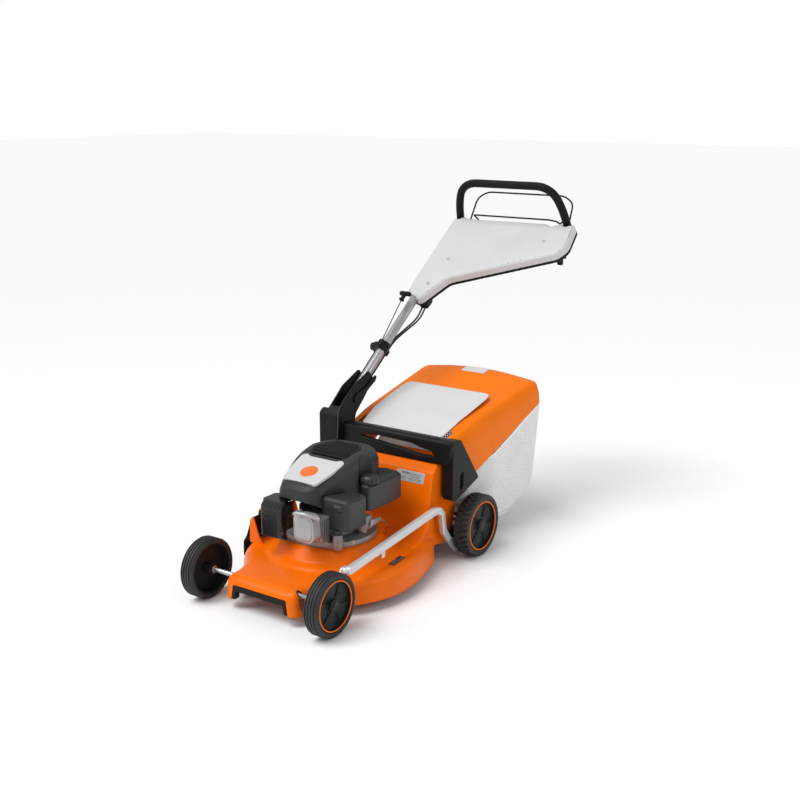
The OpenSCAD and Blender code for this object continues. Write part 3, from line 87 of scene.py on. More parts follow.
# ---------------------------------------------------------------- materials
def material(name, color, rough=0.4, metal=0.0, coat=0.0, dark=0.82, patch=9.0, rough_vary=0.06, grain=700.0,
             depth=0.00006, stretch=(1, 1, 1), spec=0.5, wear=None, speck=None):
    m = bpy.data.materials.new(name)
    m.use_nodes = True
    nt = m.node_tree
    b = nt.nodes["Principled BSDF"]
    b.inputs["Metallic"].default_value = metal
    b.inputs["Specular IOR Level"].default_value = spec
    b.inputs["Coat Weight"].default_value = coat
    b.inputs["Coat Roughness"].default_value = 0.12
    co = nt.nodes.new("ShaderNodeTexCoord")
    mp = nt.nodes.new("ShaderNodeMapping")
    mp.inputs["Scale"].default_value = stretch
    nt.links.new(co.outputs["Object"], mp.inputs["Vector"])

    def noise(scale, detail):
        n = nt.nodes.new("ShaderNodeTexNoise")
        n.inputs["Scale"].default_value = scale
        n.inputs["Detail"].default_value = detail
        nt.links.new(mp.outputs["Vector"], n.inputs["Vector"])
        return n

    big, fine = noise(patch, 4), noise(grain, 2)
    mix = nt.nodes.new("ShaderNodeMix")
    mix.data_type = "RGBA"
    mix.inputs[6].default_value = (*[c * dark for c in color], 1)
    mix.inputs[7].default_value = (*color, 1)
    rng = nt.nodes.new("ShaderNodeMapRange")
    rng.inputs["From Min"].default_value = 0.3
    rng.inputs["From Max"].default_value = 0.6
    nt.links.new(big.outputs["Fac"], rng.inputs["Value"])
    nt.links.new(rng.outputs["Result"], mix.inputs[0])
    out = mix.outputs[2]
    if wear:
        geo = nt.nodes.new("ShaderNodeNewGeometry")
        ramp = nt.nodes.new("ShaderNodeMapRange")
        ramp.inputs["From Min"].default_value = 0.54
        ramp.inputs["From Max"].default_value = 0.62
        nt.links.new(geo.outputs["Pointiness"], ramp.inputs["Value"])
        mw = nt.nodes.new("ShaderNodeMix")
        mw.data_type = "RGBA"
        mw.inputs[7].default_value = (*wear, 1)
        nt.links.new(ramp.outputs["Result"], mw.inputs[0])
        nt.links.new(out, mw.inputs[6])
        out = mw.outputs[2]
    if speck:
        dots = noise(speck[0], 0)
        sr = nt.nodes.new("ShaderNodeMapRange")
        sr.inputs["From Min"].default_value = 0.62
        sr.inputs["From Max"].default_value = 0.68
        nt.links.new(dots.outputs["Fac"], sr.inputs["Value"])
        ms = nt.nodes.new("ShaderNodeMix")
        ms.data_type = "RGBA"
        ms.inputs[7].default_value = (*speck[1], 1)
        nt.links.new(sr.outputs["Result"], ms.inputs[0])
        nt.links.new(out, ms.inputs[6])
        out = ms.outputs[2]
    nt.links.new(out, b.inputs["Base Color"])
    rr = nt.nodes.new("ShaderNodeMapRange")
    rr.inputs["From Min"].default_value = 0.3
    rr.inputs["From Max"].default_value = 0.7
    rr.inputs["To Min"].default_value = max(0.02, rough - rough_vary)
    rr.inputs["To Max"].default_value = rough + rough_vary
    nt.links.new(fine.outputs["Fac"], rr.inputs["Value"])
    nt.links.new(rr.outputs["Result"], b.inputs["Roughness"])
    bump = nt.nodes.new("ShaderNodeBump")
    bump.inputs["Strength"].default_value = 0.6
    bump.inputs["Distance"].default_value = depth
    nt.links.new(fine.outputs["Fac"], bump.inputs["Height"])
    nt.links.new(bump.outputs["Normal"], b.inputs["Normal"])
    return m


M = {
    "orange_steel": material("powder_coat_orange", (0.88, 0.152, 0.0005), 0.3, coat=0.06, spec=0.13,
    dark=0.93, grain=420, depth=0.00009, rough_vary=0.04),
    "orange_plastic": material("moulded_orange", (0.9, 0.185, 0.0008), 0.38, spec=0.12, dark=0.94,
    grain=900, depth=0.00006),
    "black_plastic": material("moulded_black", (0.009, 0.0095, 0.0095), 0.42, spec=0.15, dark=0.75,
    grain=1400, depth=0.00012, wear=(0.022, 0.022, 0.024)),
    "grey_plastic": material("moulded_charcoal", (0.03, 0.033, 0.034), 0.46, spec=0.3, dark=0.8,
    grain=1500, depth=0.00012, wear=(0.07, 0.072, 0.075)),
    "tank_plastic": material("moulded_tank", (0.022, 0.025, 0.026), 0.42, dark=0.8, grain=1300,
    depth=0.00012, wear=(0.05, 0.052, 0.055)),
    "white_plastic": material("moulded_white", (0.6, 0.6, 0.605), 0.4, dark=0.95, grain=1200, depth=0.00005),
    "flap_white": material("flap_white", (0.66, 0.66, 0.665), 0.45, dark=0.95, grain=900, depth=0.00006),
    "cast_aluminium": material("cast_aluminium", (0.3, 0.3, 0.31), 0.48, metal=0.75, dark=0.7, patch=30,
    grain=900, depth=0.0002, rough_vary=0.1, wear=(0.6, 0.6, 0.6)),
    "bright_cast": material("bright_cast", (0.46, 0.46, 0.47), 0.42, metal=0.6, dark=0.85, patch=30,
    grain=1100, depth=0.00012, wear=(0.7, 0.7, 0.7)),
    "steel": material("zinc_steel", (0.55, 0.55, 0.56), 0.3, metal=1.0, dark=0.8, patch=40, grain=800,
    depth=0.00004, rough_vary=0.1),
    "dark_steel": material("phosphated_steel", (0.05, 0.05, 0.052), 0.42, metal=0.8, dark=0.6, patch=40,
    grain=800, depth=0.0001, wear=(0.3, 0.3, 0.3)),
    "link_metal": material("rolled_link_steel", (0.66, 0.69, 0.7), 0.34, metal=0.45, dark=0.92, patch=14,
    grain=700, depth=0.00005, stretch=(1, 0.15, 1)),
    "column_metal": material("anodised_tube", (0.4, 0.4, 0.41), 0.3, metal=0.5, dark=0.95, patch=12,
    grain=500, depth=0.000008, rough_vary=0.03),
    "tyre": material("tyre_rubber", (0.021, 0.0215, 0.023), 0.62, dark=0.7, patch=25, grain=1000,
    depth=0.00015, wear=(0.035, 0.035, 0.037)),
    "rim_plastic": material("rim_plastic", (0.014, 0.015, 0.016), 0.4, spec=0.15, dark=0.75, grain=1100,
    depth=0.0001, wear=(0.05, 0.052, 0.055)),
    "black_rubber": material("soft_black_rubber", (0.009, 0.0095, 0.01), 0.55, spec=0.12, dark=0.8,
    grain=1700, depth=0.00015),
    "cable": material("cable_sheath", (0.014, 0.014, 0.015), 0.4, dark=0.8, grain=1200, depth=0.00006),
    "black_paint": material("black_enamel", (0.009, 0.009, 0.01), 0.3, dark=0.7, grain=800, depth=0.00008,
    wear=(0.04, 0.038, 0.036)),
    "cast_iron": material("cast_iron", (0.09, 0.085, 0.08), 0.6, metal=0.6, dark=0.6, patch=30, grain=600,
    depth=0.0003),
    "muffler": material("heated_sheet", (0.11, 0.095, 0.085), 0.55, metal=0.7, dark=0.6, patch=35,
    grain=700, depth=0.0001),
    "white_mesh": material("basket_white", (0.86, 0.865, 0.87), 0.5, dark=0.95, grain=900, depth=0.00008),
    "rope": material("starter_rope", (0.02, 0.02, 0.021), 0.7, dark=0.6, grain=900, depth=0.0003,
    speck=(1800, (0.12, 0.12, 0.12))),
    "bushing": material("acetal_bushing", (0.72, 0.7, 0.62), 0.4, dark=0.9, grain=900),
    "badge": material("badge_orange", (0.86, 0.16, 0.006), 0.28, coat=0.4, dark=0.96, grain=900,
    depth=0.00003),
    "plate": material("rating_plate", (0.62, 0.63, 0.64), 0.35, metal=0.4, dark=0.9, patch=60, grain=1200,
    depth=0.00003),
    "ink": material("plate_ink", (0.012, 0.012, 0.012), 0.5, dark=0.8, grain=1200, depth=0.00003),
}


# ---------------------------------------------------------------- mesh helpers
def new(name, verts, faces, smooth=True):
    """A mesh object from plain lists."""
    me = bpy.data.meshes.new(name)
    me.from_pydata([tuple(v) for v in verts], [], faces)
    me.update()
    o = bpy.data.objects.new(name, me)
    scene.collection.objects.link(o)
    for p in me.polygons:
        p.use_smooth = smooth
    return o


def bake(o):
    """Applies the object's modifiers."""
    dg = bpy.context.evaluated_depsgraph_get()
    me = bpy.data.meshes.new_from_object(o.evaluated_get(dg))
    o.modifiers.clear()
    o.data = me
    return o


def outward(o):
    """Welds the mesh and turns its faces outwards."""
    bm = bmesh.new()
    bm.from_mesh(o.data)
    bmesh.ops.remove_doubles(bm, verts=bm.verts, dist=1e-6)
    bmesh.ops.recalc_face_normals(bm, faces=bm.faces)
    bm.to_mesh(o.data)
    bm.free()
    return o


def remesh(o, voxel, its, factor=0.5):
    """Rebuilds a closed solid from voxels, then smooths it."""
    r = o.modifiers.new("r", "REMESH")
    r.mode = "VOXEL"
    r.voxel_size = voxel
    r.use_smooth_shade = True
    if its:
        s = o.modifiers.new("s", "SMOOTH")
        s.factor = factor
        s.iterations = its
    return bake(o)


def soften(name, node, voxel=0.002, its=6):
    """The CAD solid with its edges rounded as moulding leaves them."""
    o = bpy.data.objects.new(name, nodes[node].data.copy())
    scene.collection.objects.link(o)
    outward(o)
    return remesh(o, voxel, its)


def bevel(o, width=0.0008, segments=2, angle=35):
    b = o.modifiers.new("b", "BEVEL")
    b.width = width
    b.segments = segments
    b.limit_method = "ANGLE"
    b.angle_limit = radians(angle)
    return o


def flat(o, angle=35):
    for p in o.data.polygons:
        p.use_smooth = True
    o.data.set_sharp_from_angle(angle=radians(angle))
    return o


def piece(o, mat, body, replaces=()):
    """Gives an object its material and body, and hides the CAD nodes that it stands for."""
    o.data.materials.clear()
    o.data.materials.append(M[mat])
    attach(o, body)
    if replaces:
        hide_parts(*([replaces] if isinstance(replaces, str) else replaces))
    return o


def loft(name, rings, caps=True, closed=True):
    """A skin over rings of equally many points."""
    n, m = len(rings[0]), len(rings)
    v = [q for r in rings for q in r]
    f = [[i * n + k, i * n + (k + 1) % n, (i + 1) * n + (k + 1) % n, (i + 1) * n + k]
         for i in range(m - 1) for k in range(n if closed else n - 1)]
    if caps:
        f += [list(range(n))[::-1], [(m - 1) * n + k for k in range(n)]]
    return new(name, v, f)


def curve(points, steps=8):
    """Points on a smooth line through the given points."""
    p = [points[0] * 2 - points[1]] + list(points) + [points[-1] * 2 - points[-2]]
    out = []
    for i in range(1, len(p) - 2):
        a, b, c, d = p[i - 1:i + 3]
        for k in range(steps):
            t = k / steps
            out.append(0.5 * ((2 * b) + (c - a) * t + (2 * a - 5 * b + 4 * c - d) * t * t
                + (3 * b - a - 3 * c + d) * t ** 3))
    return out + [points[-1]]


def bent(points, r, n=6, closed=False):
    """A line of points with its corners rounded, each corner n steps."""
    out = [] if closed else [points[0]]
    m = len(points)
    for i in range(0 if closed else 1, m if closed else m - 1):
        a, b, c = points[(i - 1) % m], points[i], points[(i + 1) % m]
        s = b + (a - b).normalized() * min(r, (a - b).length / 2.05)
        e = b + (c - b).normalized() * min(r, (c - b).length / 2.05)
        out += [s * (1 - t) ** 2 + b * 2 * t * (1 - t) + e * t * t for t in [k / n for k in range(n + 1)]]
    return out if closed else out + [points[-1]]


def tube(name, path, r, sides=16, radius=None):
    """A round bar along a path of points, r in metres; radius(t) scales it along the way."""
    rings, side = [], None
    total = len(path) - 1
    for i, q in enumerate(path):
        d = (path[min(i + 1, total)] - path[max(i - 1, 0)]).normalized()
        if side is None:
            side = d.orthogonal().normalized()
        side = (side - d * side.dot(d)).normalized()
        up = d.cross(side)
        k = r * (radius(i / total) if radius else 1)
        rings.append([q + k * (cos(2 * pi * j / sides) * side + sin(2 * pi * j / sides) * up)
            for j in range(sides)])
    return outward(loft(name, rings))


def lathe(name, profile, place, steps=96):
    """profile: closed list of (radius, offset) in mm turned about X; place(x, y, z) puts it."""
    rings = [[place(q[1], q[0] * cos(2 * pi * i / steps), q[0] * sin(2 * pi * i / steps)) for q in profile]
        for i in range(steps)]
    n = len(profile)
    v = [q for r in rings for q in r]
    f = [[i * n + k, i * n + (k + 1) % n, ((i + 1) % steps) * n + (k + 1) % n, ((i + 1) % steps) * n + k]
         for i in range(steps) for k in range(n)]
    return outward(new(name, v, f))


def prism(name, outline, frm, to, width=0.0015, segments=3):
    """A closed outline (points) pushed from frm to to (vectors), with rounded edges."""
    o = outward(loft(name, [[q + frm for q in outline], [q + to for q in outline]]))
    flat(o)
    return bevel(o, width, segments)


def cut(o, cutters):
    """Takes closed solids away from o."""
    for c in cutters:
        b = o.modifiers.new("c", "BOOLEAN")
        b.operation = "DIFFERENCE"
        b.solver = "EXACT"
        b.object = c
        bake(o)
        bpy.data.objects.remove(c)
    return o


def block(x0, x1, y0, y1, z0, z1, name="block"):
    v = [P(x, y, z) for x in (x0, x1) for y in (y0, y1) for z in (z0, z1)]
    return outward(new(name, v, [[0, 1, 3, 2], [4, 6, 7, 5], [0, 4, 5, 1], [2, 3, 7, 6], [0, 2, 6, 4],
        [1, 5, 7, 3]], False))


def join(objs):
    """Puts several meshes into the first one."""
    base = objs[0]
    bm = bmesh.new()
    for o in objs:
        bm.from_mesh(o.data)
    bm.to_mesh(base.data)
    bm.free()
    for o in objs[1:]:
        bpy.data.objects.remove(o)
    return base


def slice_off(o, point, normal):
    """Removes what lies on the normal's side of a plane and leaves the cut open."""
    bm = bmesh.new()
    bm.from_mesh(o.data)
    bmesh.ops.bisect_plane(bm, geom=bm.verts[:] + bm.edges[:] + bm.faces[:], plane_co=point,
        plane_no=normal, clear_outer=True)
    bm.to_mesh(o.data)
    bm.free()
    return o


def solidify(o, t, offset=-1.0, bake_it=True):
    """Gives a sheet its thickness t."""
    s = o.modifiers.new("t", "SOLIDIFY")
    s.thickness = t
    s.offset = offset
    return bake(o) if bake_it else o


# ---------------------------------------------------------------- deck
def skirt():
    r = 267
    pts = [(0, -34), (r * 0.5, -34), (r * 0.505, 22), (r * 0.58, 70), (r * 0.68, 106)]
    pts += [(r * sin(radians(a)), 300 - r * cos(radians(a))) for a in range(51, 96, 11)]
    pts += [(r * 0.975, 380), (224, 514), (196, 570), (150, 575), (0, 575)]
    return bent([Vector((x, y, 0)) for x, y in pts], 42, 5)


SKIRT = skirt()


def ring(z, d):
    n = len(SKIRT)
    h = []
    for i, p in enumerate(SKIRT):
        t = (SKIRT[min(i + 1, n - 1)] - SKIRT[max(i - 1, 0)]).normalized()
        h.append(Vector((p.x - d * t.y, p.y + d * t.x, 0)))
    h[0].x = h[-1].x = 0
    full = h + [Vector((-q.x, q.y, 0)) for q in h[-2:0:-1]]
    return [P(q.x, q.y, z) for q in full]


def deck():
    body = loft("deck", [ring(20, 0), ring(74, 1.5), ring(88, 5), ring(98, 13), ring(104, 26)])
    dome = [(0, 60), (203, 60), (203, 102), (188, 113), (169, 121), (158, 138), (148, 152), (140, 156),
        (0, 156)]
    steps = 72
    top = loft("top", [[P(r * cos(2 * pi * i / steps), BLADE_Y + r * sin(2 * pi * i / steps), z)
        for i in range(steps)]
                       for r, z in [(max(r, 1), z) for r, z in dome]])
    side = [(410, 60), (410, 102), (490, 116), (515, 150), (526, 210), (540, 262), (558, 306), (588, 326),
        (720, 326),
            (720, 152), (577, 130), (575, 60)]
    hw = lambda y: 203 if y < 525 else max(190, 203 - 13 * (y - 525) / 50)
    tun = loft("tun", [[P(s * hw(y), y, z) for y, z in side] for s in (1, -1)])
    hump = loft("hump", [[P(x, y, z) for y, z in [(400, 96), (412, 131), (536, 131), (536, 96)]]
        for x in (52, -52)])
    o = join([outward(body), outward(top), outward(tun), outward(hump)])
    o.name = "deck_pressing"
    remesh(o, 0.0032, 9)
    slice_off(o, P(0, 0, 31), (0, 0, -1))
    slice_off(o, P(0, 690, 0), (0, 1, 0))
    solidify(o, 0.003)
    arch = loft("arch", [[P(x, y, z) for x, z in [(-111.5, -5), (-97.5, 78), (97.5, 78), (111.5, -5)]]
        for y in (-60, 8)])
    axle = loft("axle", [[P(x, y, z) for y, z in [(-11, 90), (-8, 99), (0, 102), (8, 99), (11, 90),
        (9, 70), (17, 46), (20, 20),
                                                 (-4, 20), (-2, 40), (-13, 68)]] for x in (-300, 300)])
    holes = [block(-300, 300, p[0] - 7, p[0] + 7, p[1] - 7, p[1] + 7) for p in ((62, 72), (650, 85))]
    crank = loft("crank", [[P(42 * cos(2 * pi * i / 40), BLADE_Y + 42 * sin(2 * pi * i / 40), z)
        for i in range(40)] for z in (60, 260)])
    belt = block(-62, 62, 545, 605, 108, 128)
    chute = block(-300, -200, 215, 385, 43, 80)
    cut(o, [outward(arch), outward(axle), outward(crank), belt, chute] + holes)
    ears = []
    for s in (-1, 1):
        e = bent([Vector((0, y, z)) for y, z in [(555, 150), (690, 170), (672, 63), (624, 59), (555, 70)]],
            9, 5, True)
        ears.append(outward(loft("ear", [[P(s * 185, q.y, q.z) for q in e],
            [P(s * 190.2, q.y, q.z) for q in e]])))
    for y in (200.7, 395.3):
        e = bent([Vector((x, 0, z)) for x, z in [(-185, 98), (-241, 101), (-238, 172), (-232, 182),
            (-222, 180), (-205, 128)]], 6, 5, True)
        ears.append(outward(loft("lug", [[P(q.x, y, q.z) for q in e], [P(q.x, y + 4, q.z) for q in e]])))
    ear = join(ears)
    ear.name = "deck_ears"
    flat(ear)
    bevel(ear, 0.0008)
    piece(ear, "orange_steel", "chassis")
    # rolled lower edge
    edge = ring(33.5, 1.4)
    half = [q for q in edge if q.y > P(0, 24, 0).y]
    k = max(range(len(half)), key=lambda i: (half[i] - half[i - 1]).length)
    half = half[k:] + half[:k]
    piece(tube("deck_rolled_edge", half, 0.0026, 10), "orange_steel", "chassis")
    return piece(o, "orange_steel", "chassis", replaces="deck_shell")


deck()


# ---------------------------------------------------------------- wheels
def wheel(tag, body, side, face, y, z, r, w, seat, lugs):
    """Tyre with its tread cut in, and the accent ring. Offsets run inwards from the outer face."""
    place = lambda off, a, b: P(side * (face - off), y + a, z + b)
    wall = [(seat, 3), (seat + 1.2, 1.2), (seat + 4, 0.5), (seat + 4.8, 1.0), (seat + 6, 0.2), (r - 13, 0),
        (r - 8, 0.7), (r - 4, 2.4)]
    if lugs:
        steps = 34 * 8
        cols = [(4.2, 1), (5.4, 1), (9, 1), (13, 1), (17, 1), (21, 1), (24, 1), (26.5, 0), (w - 26.5, 0),
            (w - 24, 1), (w - 21, 1),
                (w - 17, 1), (w - 13, 1), (w - 9, 1), (w - 5.4, 1), (w - 4.2, 1)]
        n = len(cols) + 2 * len(wall)
        v = []
        for i in range(steps):
            t = 2 * pi * i / steps
            prof = list(wall)
            for off, on in cols:
                s = (off - w / 2) / (w / 2)
                ph = (34 * i / steps + 0.55 * abs(s) + (0.5 if s > 0 else 0)) % 1
                edge = 2.2 * max(0, abs(s) - 0.72) / 0.28
                prof.append((r - edge - (4.6 if (not on or ph > 0.62) else 0), off))
            prof += [(q[0], w - q[1]) for q in wall[::-1]]
            v += [place(q[1], q[0] * cos(t), q[0] * sin(t)) for q in prof]
        f = [[i * n + k, i * n + (k + 1) % n, ((i + 1) % steps) * n + (k + 1) % n, ((i + 1) % steps) * n + k]
             for i in range(steps) for k in range(n)]
        o = outward(new("tyre_" + tag, v, f))
        flat(o, 50)
    else:
        tread = [(r - 1.6, 4.6), (r - 0.4, 7)]
        for i in range(4):
            c = w * (i + 1) / 5
            tread += [(r, c - 3.0), (r - 0.3, c - 1.9), (r - 2.8, c - 1.1), (r - 2.8, c + 1.1),
                (r - 0.3, c + 1.9), (r, c + 3.0)]
        tread += [(r - 0.4, w - 7), (r - 1.6, w - 4.6)]
        o = lathe("tyre_" + tag, wall + tread + [(q[0], w - q[1]) for q in wall[::-1]], place, 144)
        flat(o, 50)
    piece(o, "tyre", body, replaces="tyre_" + tag)
    ro = seat - 3
    prof = [(ro - 3.7, 4.2), (ro - 3.7, 2.3), (ro - 3.0, 1.7), (ro - 0.6, 1.7), (ro + 0.1, 2.3),
        (ro + 0.1, 4.2)]
    piece(flat(lathe("accent_ring_" + tag, prof, place, 144), 60), "orange_plastic", body)
    # hub cap in the middle of the rim
    cap = [(0.01, 4.3), (9, 4.5), (13.5, 5.2), (16, 7.0), (17.5, 10.5), (17.5, 14), (0.01, 14)]
    piece(flat(lathe("hub_cap_" + tag, cap, place, 48), 50), "rim_plastic", body)


wheel("front_left", "wheel_front_left", 1, 252, 0, 90, 90, 47.5, 75, False)
wheel("front_right", "wheel_front_right", -1, 252, 0, 90, 90, 47.5, 75, False)
wheel("rear_left", "wheel_rear_left", 1, 273.5, WB, 100, 100, 55, 82, True)
wheel("rear_right", "wheel_rear_right", -1, 273.5, WB, 100, 100, 55, 82, True)

# ---------------------------------------------------------------- moulded parts that keep their CAD shape
for name, node, mat, body, voxel, its in [
    ("arch_moulding", "rear_arch", "black_plastic", "chassis", 0.0022, 8),
    ("bracket_moulding", "handle_bracket", "black_plastic", "chassis", 0.002, 7),
    ("liner_moulding", "front_liner", "black_plastic", "chassis", 0.002, 3),
    ("shroud_moulding", "engine_shroud", "grey_plastic", "chassis", 0.0016, 7),
    ("tank_moulding", "fuel_tank", "tank_plastic", "chassis", 0.0018, 9),
    ("filter_moulding", "air_filter", "tank_plastic", "chassis", 0.0016, 6),
    ("valve_cover_casting", "valve_cover", "bright_cast", "chassis", 0.0013, 5),
    ("console_upper_shell", "console_top", "white_plastic", "handle", 0.0018, 7),
    ("console_lower_shell", "console_base", "black_plastic", "handle", 0.0018, 5),
    ("guide_moulding", "rope_guide", "black_plastic", "handle", 0.0013, 4),
    ("grip_moulding", "start_grip", "black_rubber", "grip", 0.001, 6),
    ("lock_lever_moulding", "lock_lever", "black_plastic", "lock", 0.001, 3),
    ("side_cover_moulding", "side_cover", "black_plastic", "side_cover", 0.0016, 3),
    ("flap_moulding", "discharge_flap", "flap_white", "flap", 0.0016, 4),
]:
    piece(soften(name, node, voxel, its), mat, body, node)

catch = bent([Vector((x, 0, z)) for x, z in [(-238, 176), (-236, 196), (-228, 200), (-214, 196),
    (-216, 178)]], 5, 4, True)
piece(prism("cover_catch", [P(q.x, 238, q.z) for q in catch], Vector((0, 0, 0)), Vector((0, 0.044, 0)),
    0.002, 3), "orange_plastic", "side_cover")

# ---------------------------------------------------------------- shroud panel, badge and grille
SL = math.atan(0.335)


def roof(x, v, n):
    """A point on the shroud's sloping roof: v up the slope, n above it."""
    return P(-18 + x, BLADE_Y - 152 + v * cos(SL) - n * sin(SL), 336 + v * sin(SL) + n * cos(SL))


panel_pts = [(-61, 27), (61, 27), (74, 92), (79, 149), (62, 157), (51, 147), (-51, 147), (-62, 157),
    (-79, 149), (-74, 92)]
panel_pts = bent([Vector((x, v, 0)) for x, v in panel_pts], 9, 5, True)
piece(prism("panel_plate", [roof(q.x, q.y, 0) for q in panel_pts], roof(0, 0, -6) - roof(0, 0, 0),
    roof(0, 0, 2.5) - roof(0, 0, 0), 0.0012, 3),
      "white_plastic", "chassis", replaces="shroud_panel")
rings = []
for r, n in [(27, 2.3), (27, 3.4), (26.2, 3.9), (24.2, 3.9), (23.8, 3.5), (23.2, 3.5), (22.6, 4.0),
    (12, 4.5), (0.5, 4.7)]:
    rings.append([roof(r * cos(2 * pi * i / 72), 78 + r * sin(2 * pi * i / 72), n) for i in range(72)])
piece(flat(outward(loft("panel_badge", rings)), 60), "badge", "chassis")


def lattice(name, at, nu, nv, share, thick, solid):
    """A perforated sheet: at(i, j) gives the corners, share is how much of each cell is open."""
    verts = [at(i, j) for j in range(nv + 1) for i in range(nu + 1)]
    faces = []
    for j in range(nv):
        for i in range(nu):
            q = [j * (nu + 1) + i, j * (nu + 1) + i + 1, (j + 1) * (nu + 1) + i + 1, (j + 1) * (nu + 1) + i]
            if solid(i, j):
                faces.append(q)
                continue
            mid = sum((verts[k] for k in q), Vector()) / 4
            n = len(verts)
            verts += [mid + (verts[k] - mid) * share for k in q]
            faces += [[q[e], q[(e + 1) % 4], n + (e + 1) % 4, n + e] for e in range(4)]
    o = new(name, verts, faces, False)
    return solidify(o, thick, 0.0)


def grille_at(i, j):
    v = -45 + 106 * j / 22
    w = next(a[1] + (b[1] - a[1]) * (v - a[0]) / (b[0] - a[0]) for a, b in
             zip([(-46, 60), (-6, 70), (36, 64), (62, 42)], [(-6, 70), (36, 64), (62, 42), (63, 42)])
             if v <= b[0])
    y = BLADE_Y + 50 + v
    z = min(400, 336 + (y - BLADE_Y + 152) * 0.335)
    z = z - 2.0 * max(0, 1 - abs(y - 339) / 14) + 1.6 - 3.2 * (abs(2 * i / 26 - 1) > 0.99)
    return P(-18 + w * (2 * i / 26 - 1), y, z)


piece(lattice("grille_lattice", grille_at, 26, 22, 0.55, 0.0026, lambda i,
    j: i in (0, 25) or j in (0, 21)), "black_plastic", "chassis",
      replaces="recoil_grille")


# muffler guard: a perforated box, open behind
def guard():
    x0, x1, y0, y1, z0, z1 = -122, -40, 116, 186, 180, 290
    out = bent([Vector((x0, y1, 0)), Vector((x0, y0, 0)), Vector((x1, y0, 0)), Vector((x1, y0 + 22, 0))],
        14, 5)
    path, run = [out[0]], [0]
    for a, b in zip(out, out[1:]):
        run.append(run[-1] + (b - a).length)
    nu, nv = 26, 16

    def at(i, j):
        d = run[-1] * i / nu
        k = next(q for q in range(len(run) - 1) if d <= run[q + 1] + 1e-6)
        p = out[k].lerp(out[k + 1], (d - run[k]) / max(1e-9, run[k + 1] - run[k]))
        t = j / nv
        lean = 7 * max(0, t - 0.8) / 0.2
        return P(p.x + (lean if p.x < -100 else 0), p.y + (lean if p.y < y0 + 12 else 0),
            z0 + (z1 - z0) * t - (lean * 0.4))

    side = lattice("guard_wall", at, nu, nv, 0.5, 0.0012, lambda i,
        j: j < 2 or j > 12 or i in (0, 1, 8, 9, 10, 25) or (i + j) % 2 == 0)
    piece(side, "black_paint", "chassis", "muffler_guard")
    top = bent([Vector((x0 + 6, y1, 0)), Vector((x0 + 6, y0 + 6, 0)), Vector((x1, y0 + 6, 0)),
        Vector((x1, y1, 0))], 12, 5, True)
    lid = prism("guard_lid", [P(q.x, q.y, 286) for q in top], Vector((0, 0, 0)), Vector((0, 0, 0.004)),
        0.0016, 3)
    piece(lid, "black_paint", "chassis")
    foot = prism("guard_foot", [P(q[0], q[1], 179) for q in [(x1 - 26, y0 + 1), (x1 + 10, y0 + 3),
        (x1 + 16, y0 + 12), (x1 - 2, y0 + 26)]],
                 Vector((0, 0, 0)), Vector((0, 0, 0.0025)), 0.0006, 2)
    piece(foot, "black_paint", "chassis")


guard()


# plates: height scale on the shoulder, rating plate on the ramp
def plate(name, centre, right, fwd, w, l, t, mat, marks):
    """A thin plate with raised marks: (x, y, width, length) on its face."""
    n = right.cross(fwd).normalized()
    q = bent([right * sx * w / 2 + fwd * sy * l / 2 for sx, sy in ((-1, -1), (1, -1), (1, 1), (-1, 1))],
        0.0025, 4, True)
    o = prism(name, [centre + p for p in q], n * 0, n * t, 0.0003, 2)
    piece(o, mat, "chassis", "deck_plates")
    bars = []
    for k, (x, y, bw, bl) in enumerate(marks):
        c = [centre + n * (t - 0.0001) + right * (x + sx * bw / 2) + fwd * (y + sy * bl / 2) for sx,
            sy in ((-1, -1), (1, -1), (1, 1), (-1, 1))]
        bars.append(outward(loft(name + "_m%d" % k, [c, [p + n * 0.0003 for p in c]])))
    m = join(bars)
    m.name = name + "_marks"
    flat(m)
    piece(m, "white_plastic" if mat == "ink" else "ink", "chassis")


rx = Vector((cos(radians(7)), sin(radians(7)), 0))
ry = Vector((-sin(radians(7)), cos(radians(7)), 0))
plate("height_scale", P(219, 328, 104.1), rx, ry, 0.020, 0.072, 0.001, "ink",
      [(0.004, -0.03 + 0.0066 * k, 0.008 if k % 2 else 0.005, 0.0012) for k in range(10)]
      + [(-0.005, -0.012, 0.0012, 0.036)])
ra = math.atan2(44, 18)
py = Vector((0, cos(ra), sin(ra)))
plate("rating_plate", P(115, 549, 284) + Vector((0, -sin(ra), cos(ra))) * 0.0003, Vector((1, 0, 0)), py,
    0.104, 0.034, 0.0011, "plate",
      [(-0.032 + 0.0034 * k, 0.009, 0.0012 if k % 3 else 0.0022, 0.007) for k in range(9)] +
      [(0.018, 0.009 - 0.005 * k, 0.05 - 0.008 * (k % 3), 0.0011) for k in range(5)]
      + [(-0.026, -0.004 - 0.005 * k, 0.028 - 0.006 * k, 0.0014) for k in range(2)])

# ---------------------------------------------------------------- catcher
CF, CL = 648, 520
CB = CF + CL
seam = lambda y: 251 + (y - ARCH_Y - 152) * 0.396


def cover_z(t):
    if t < 0.2:
        return 386 + t * 165
    return 419 + (min(t, 0.94) - 0.2) * 95 - max(0, t - 0.94) * 160


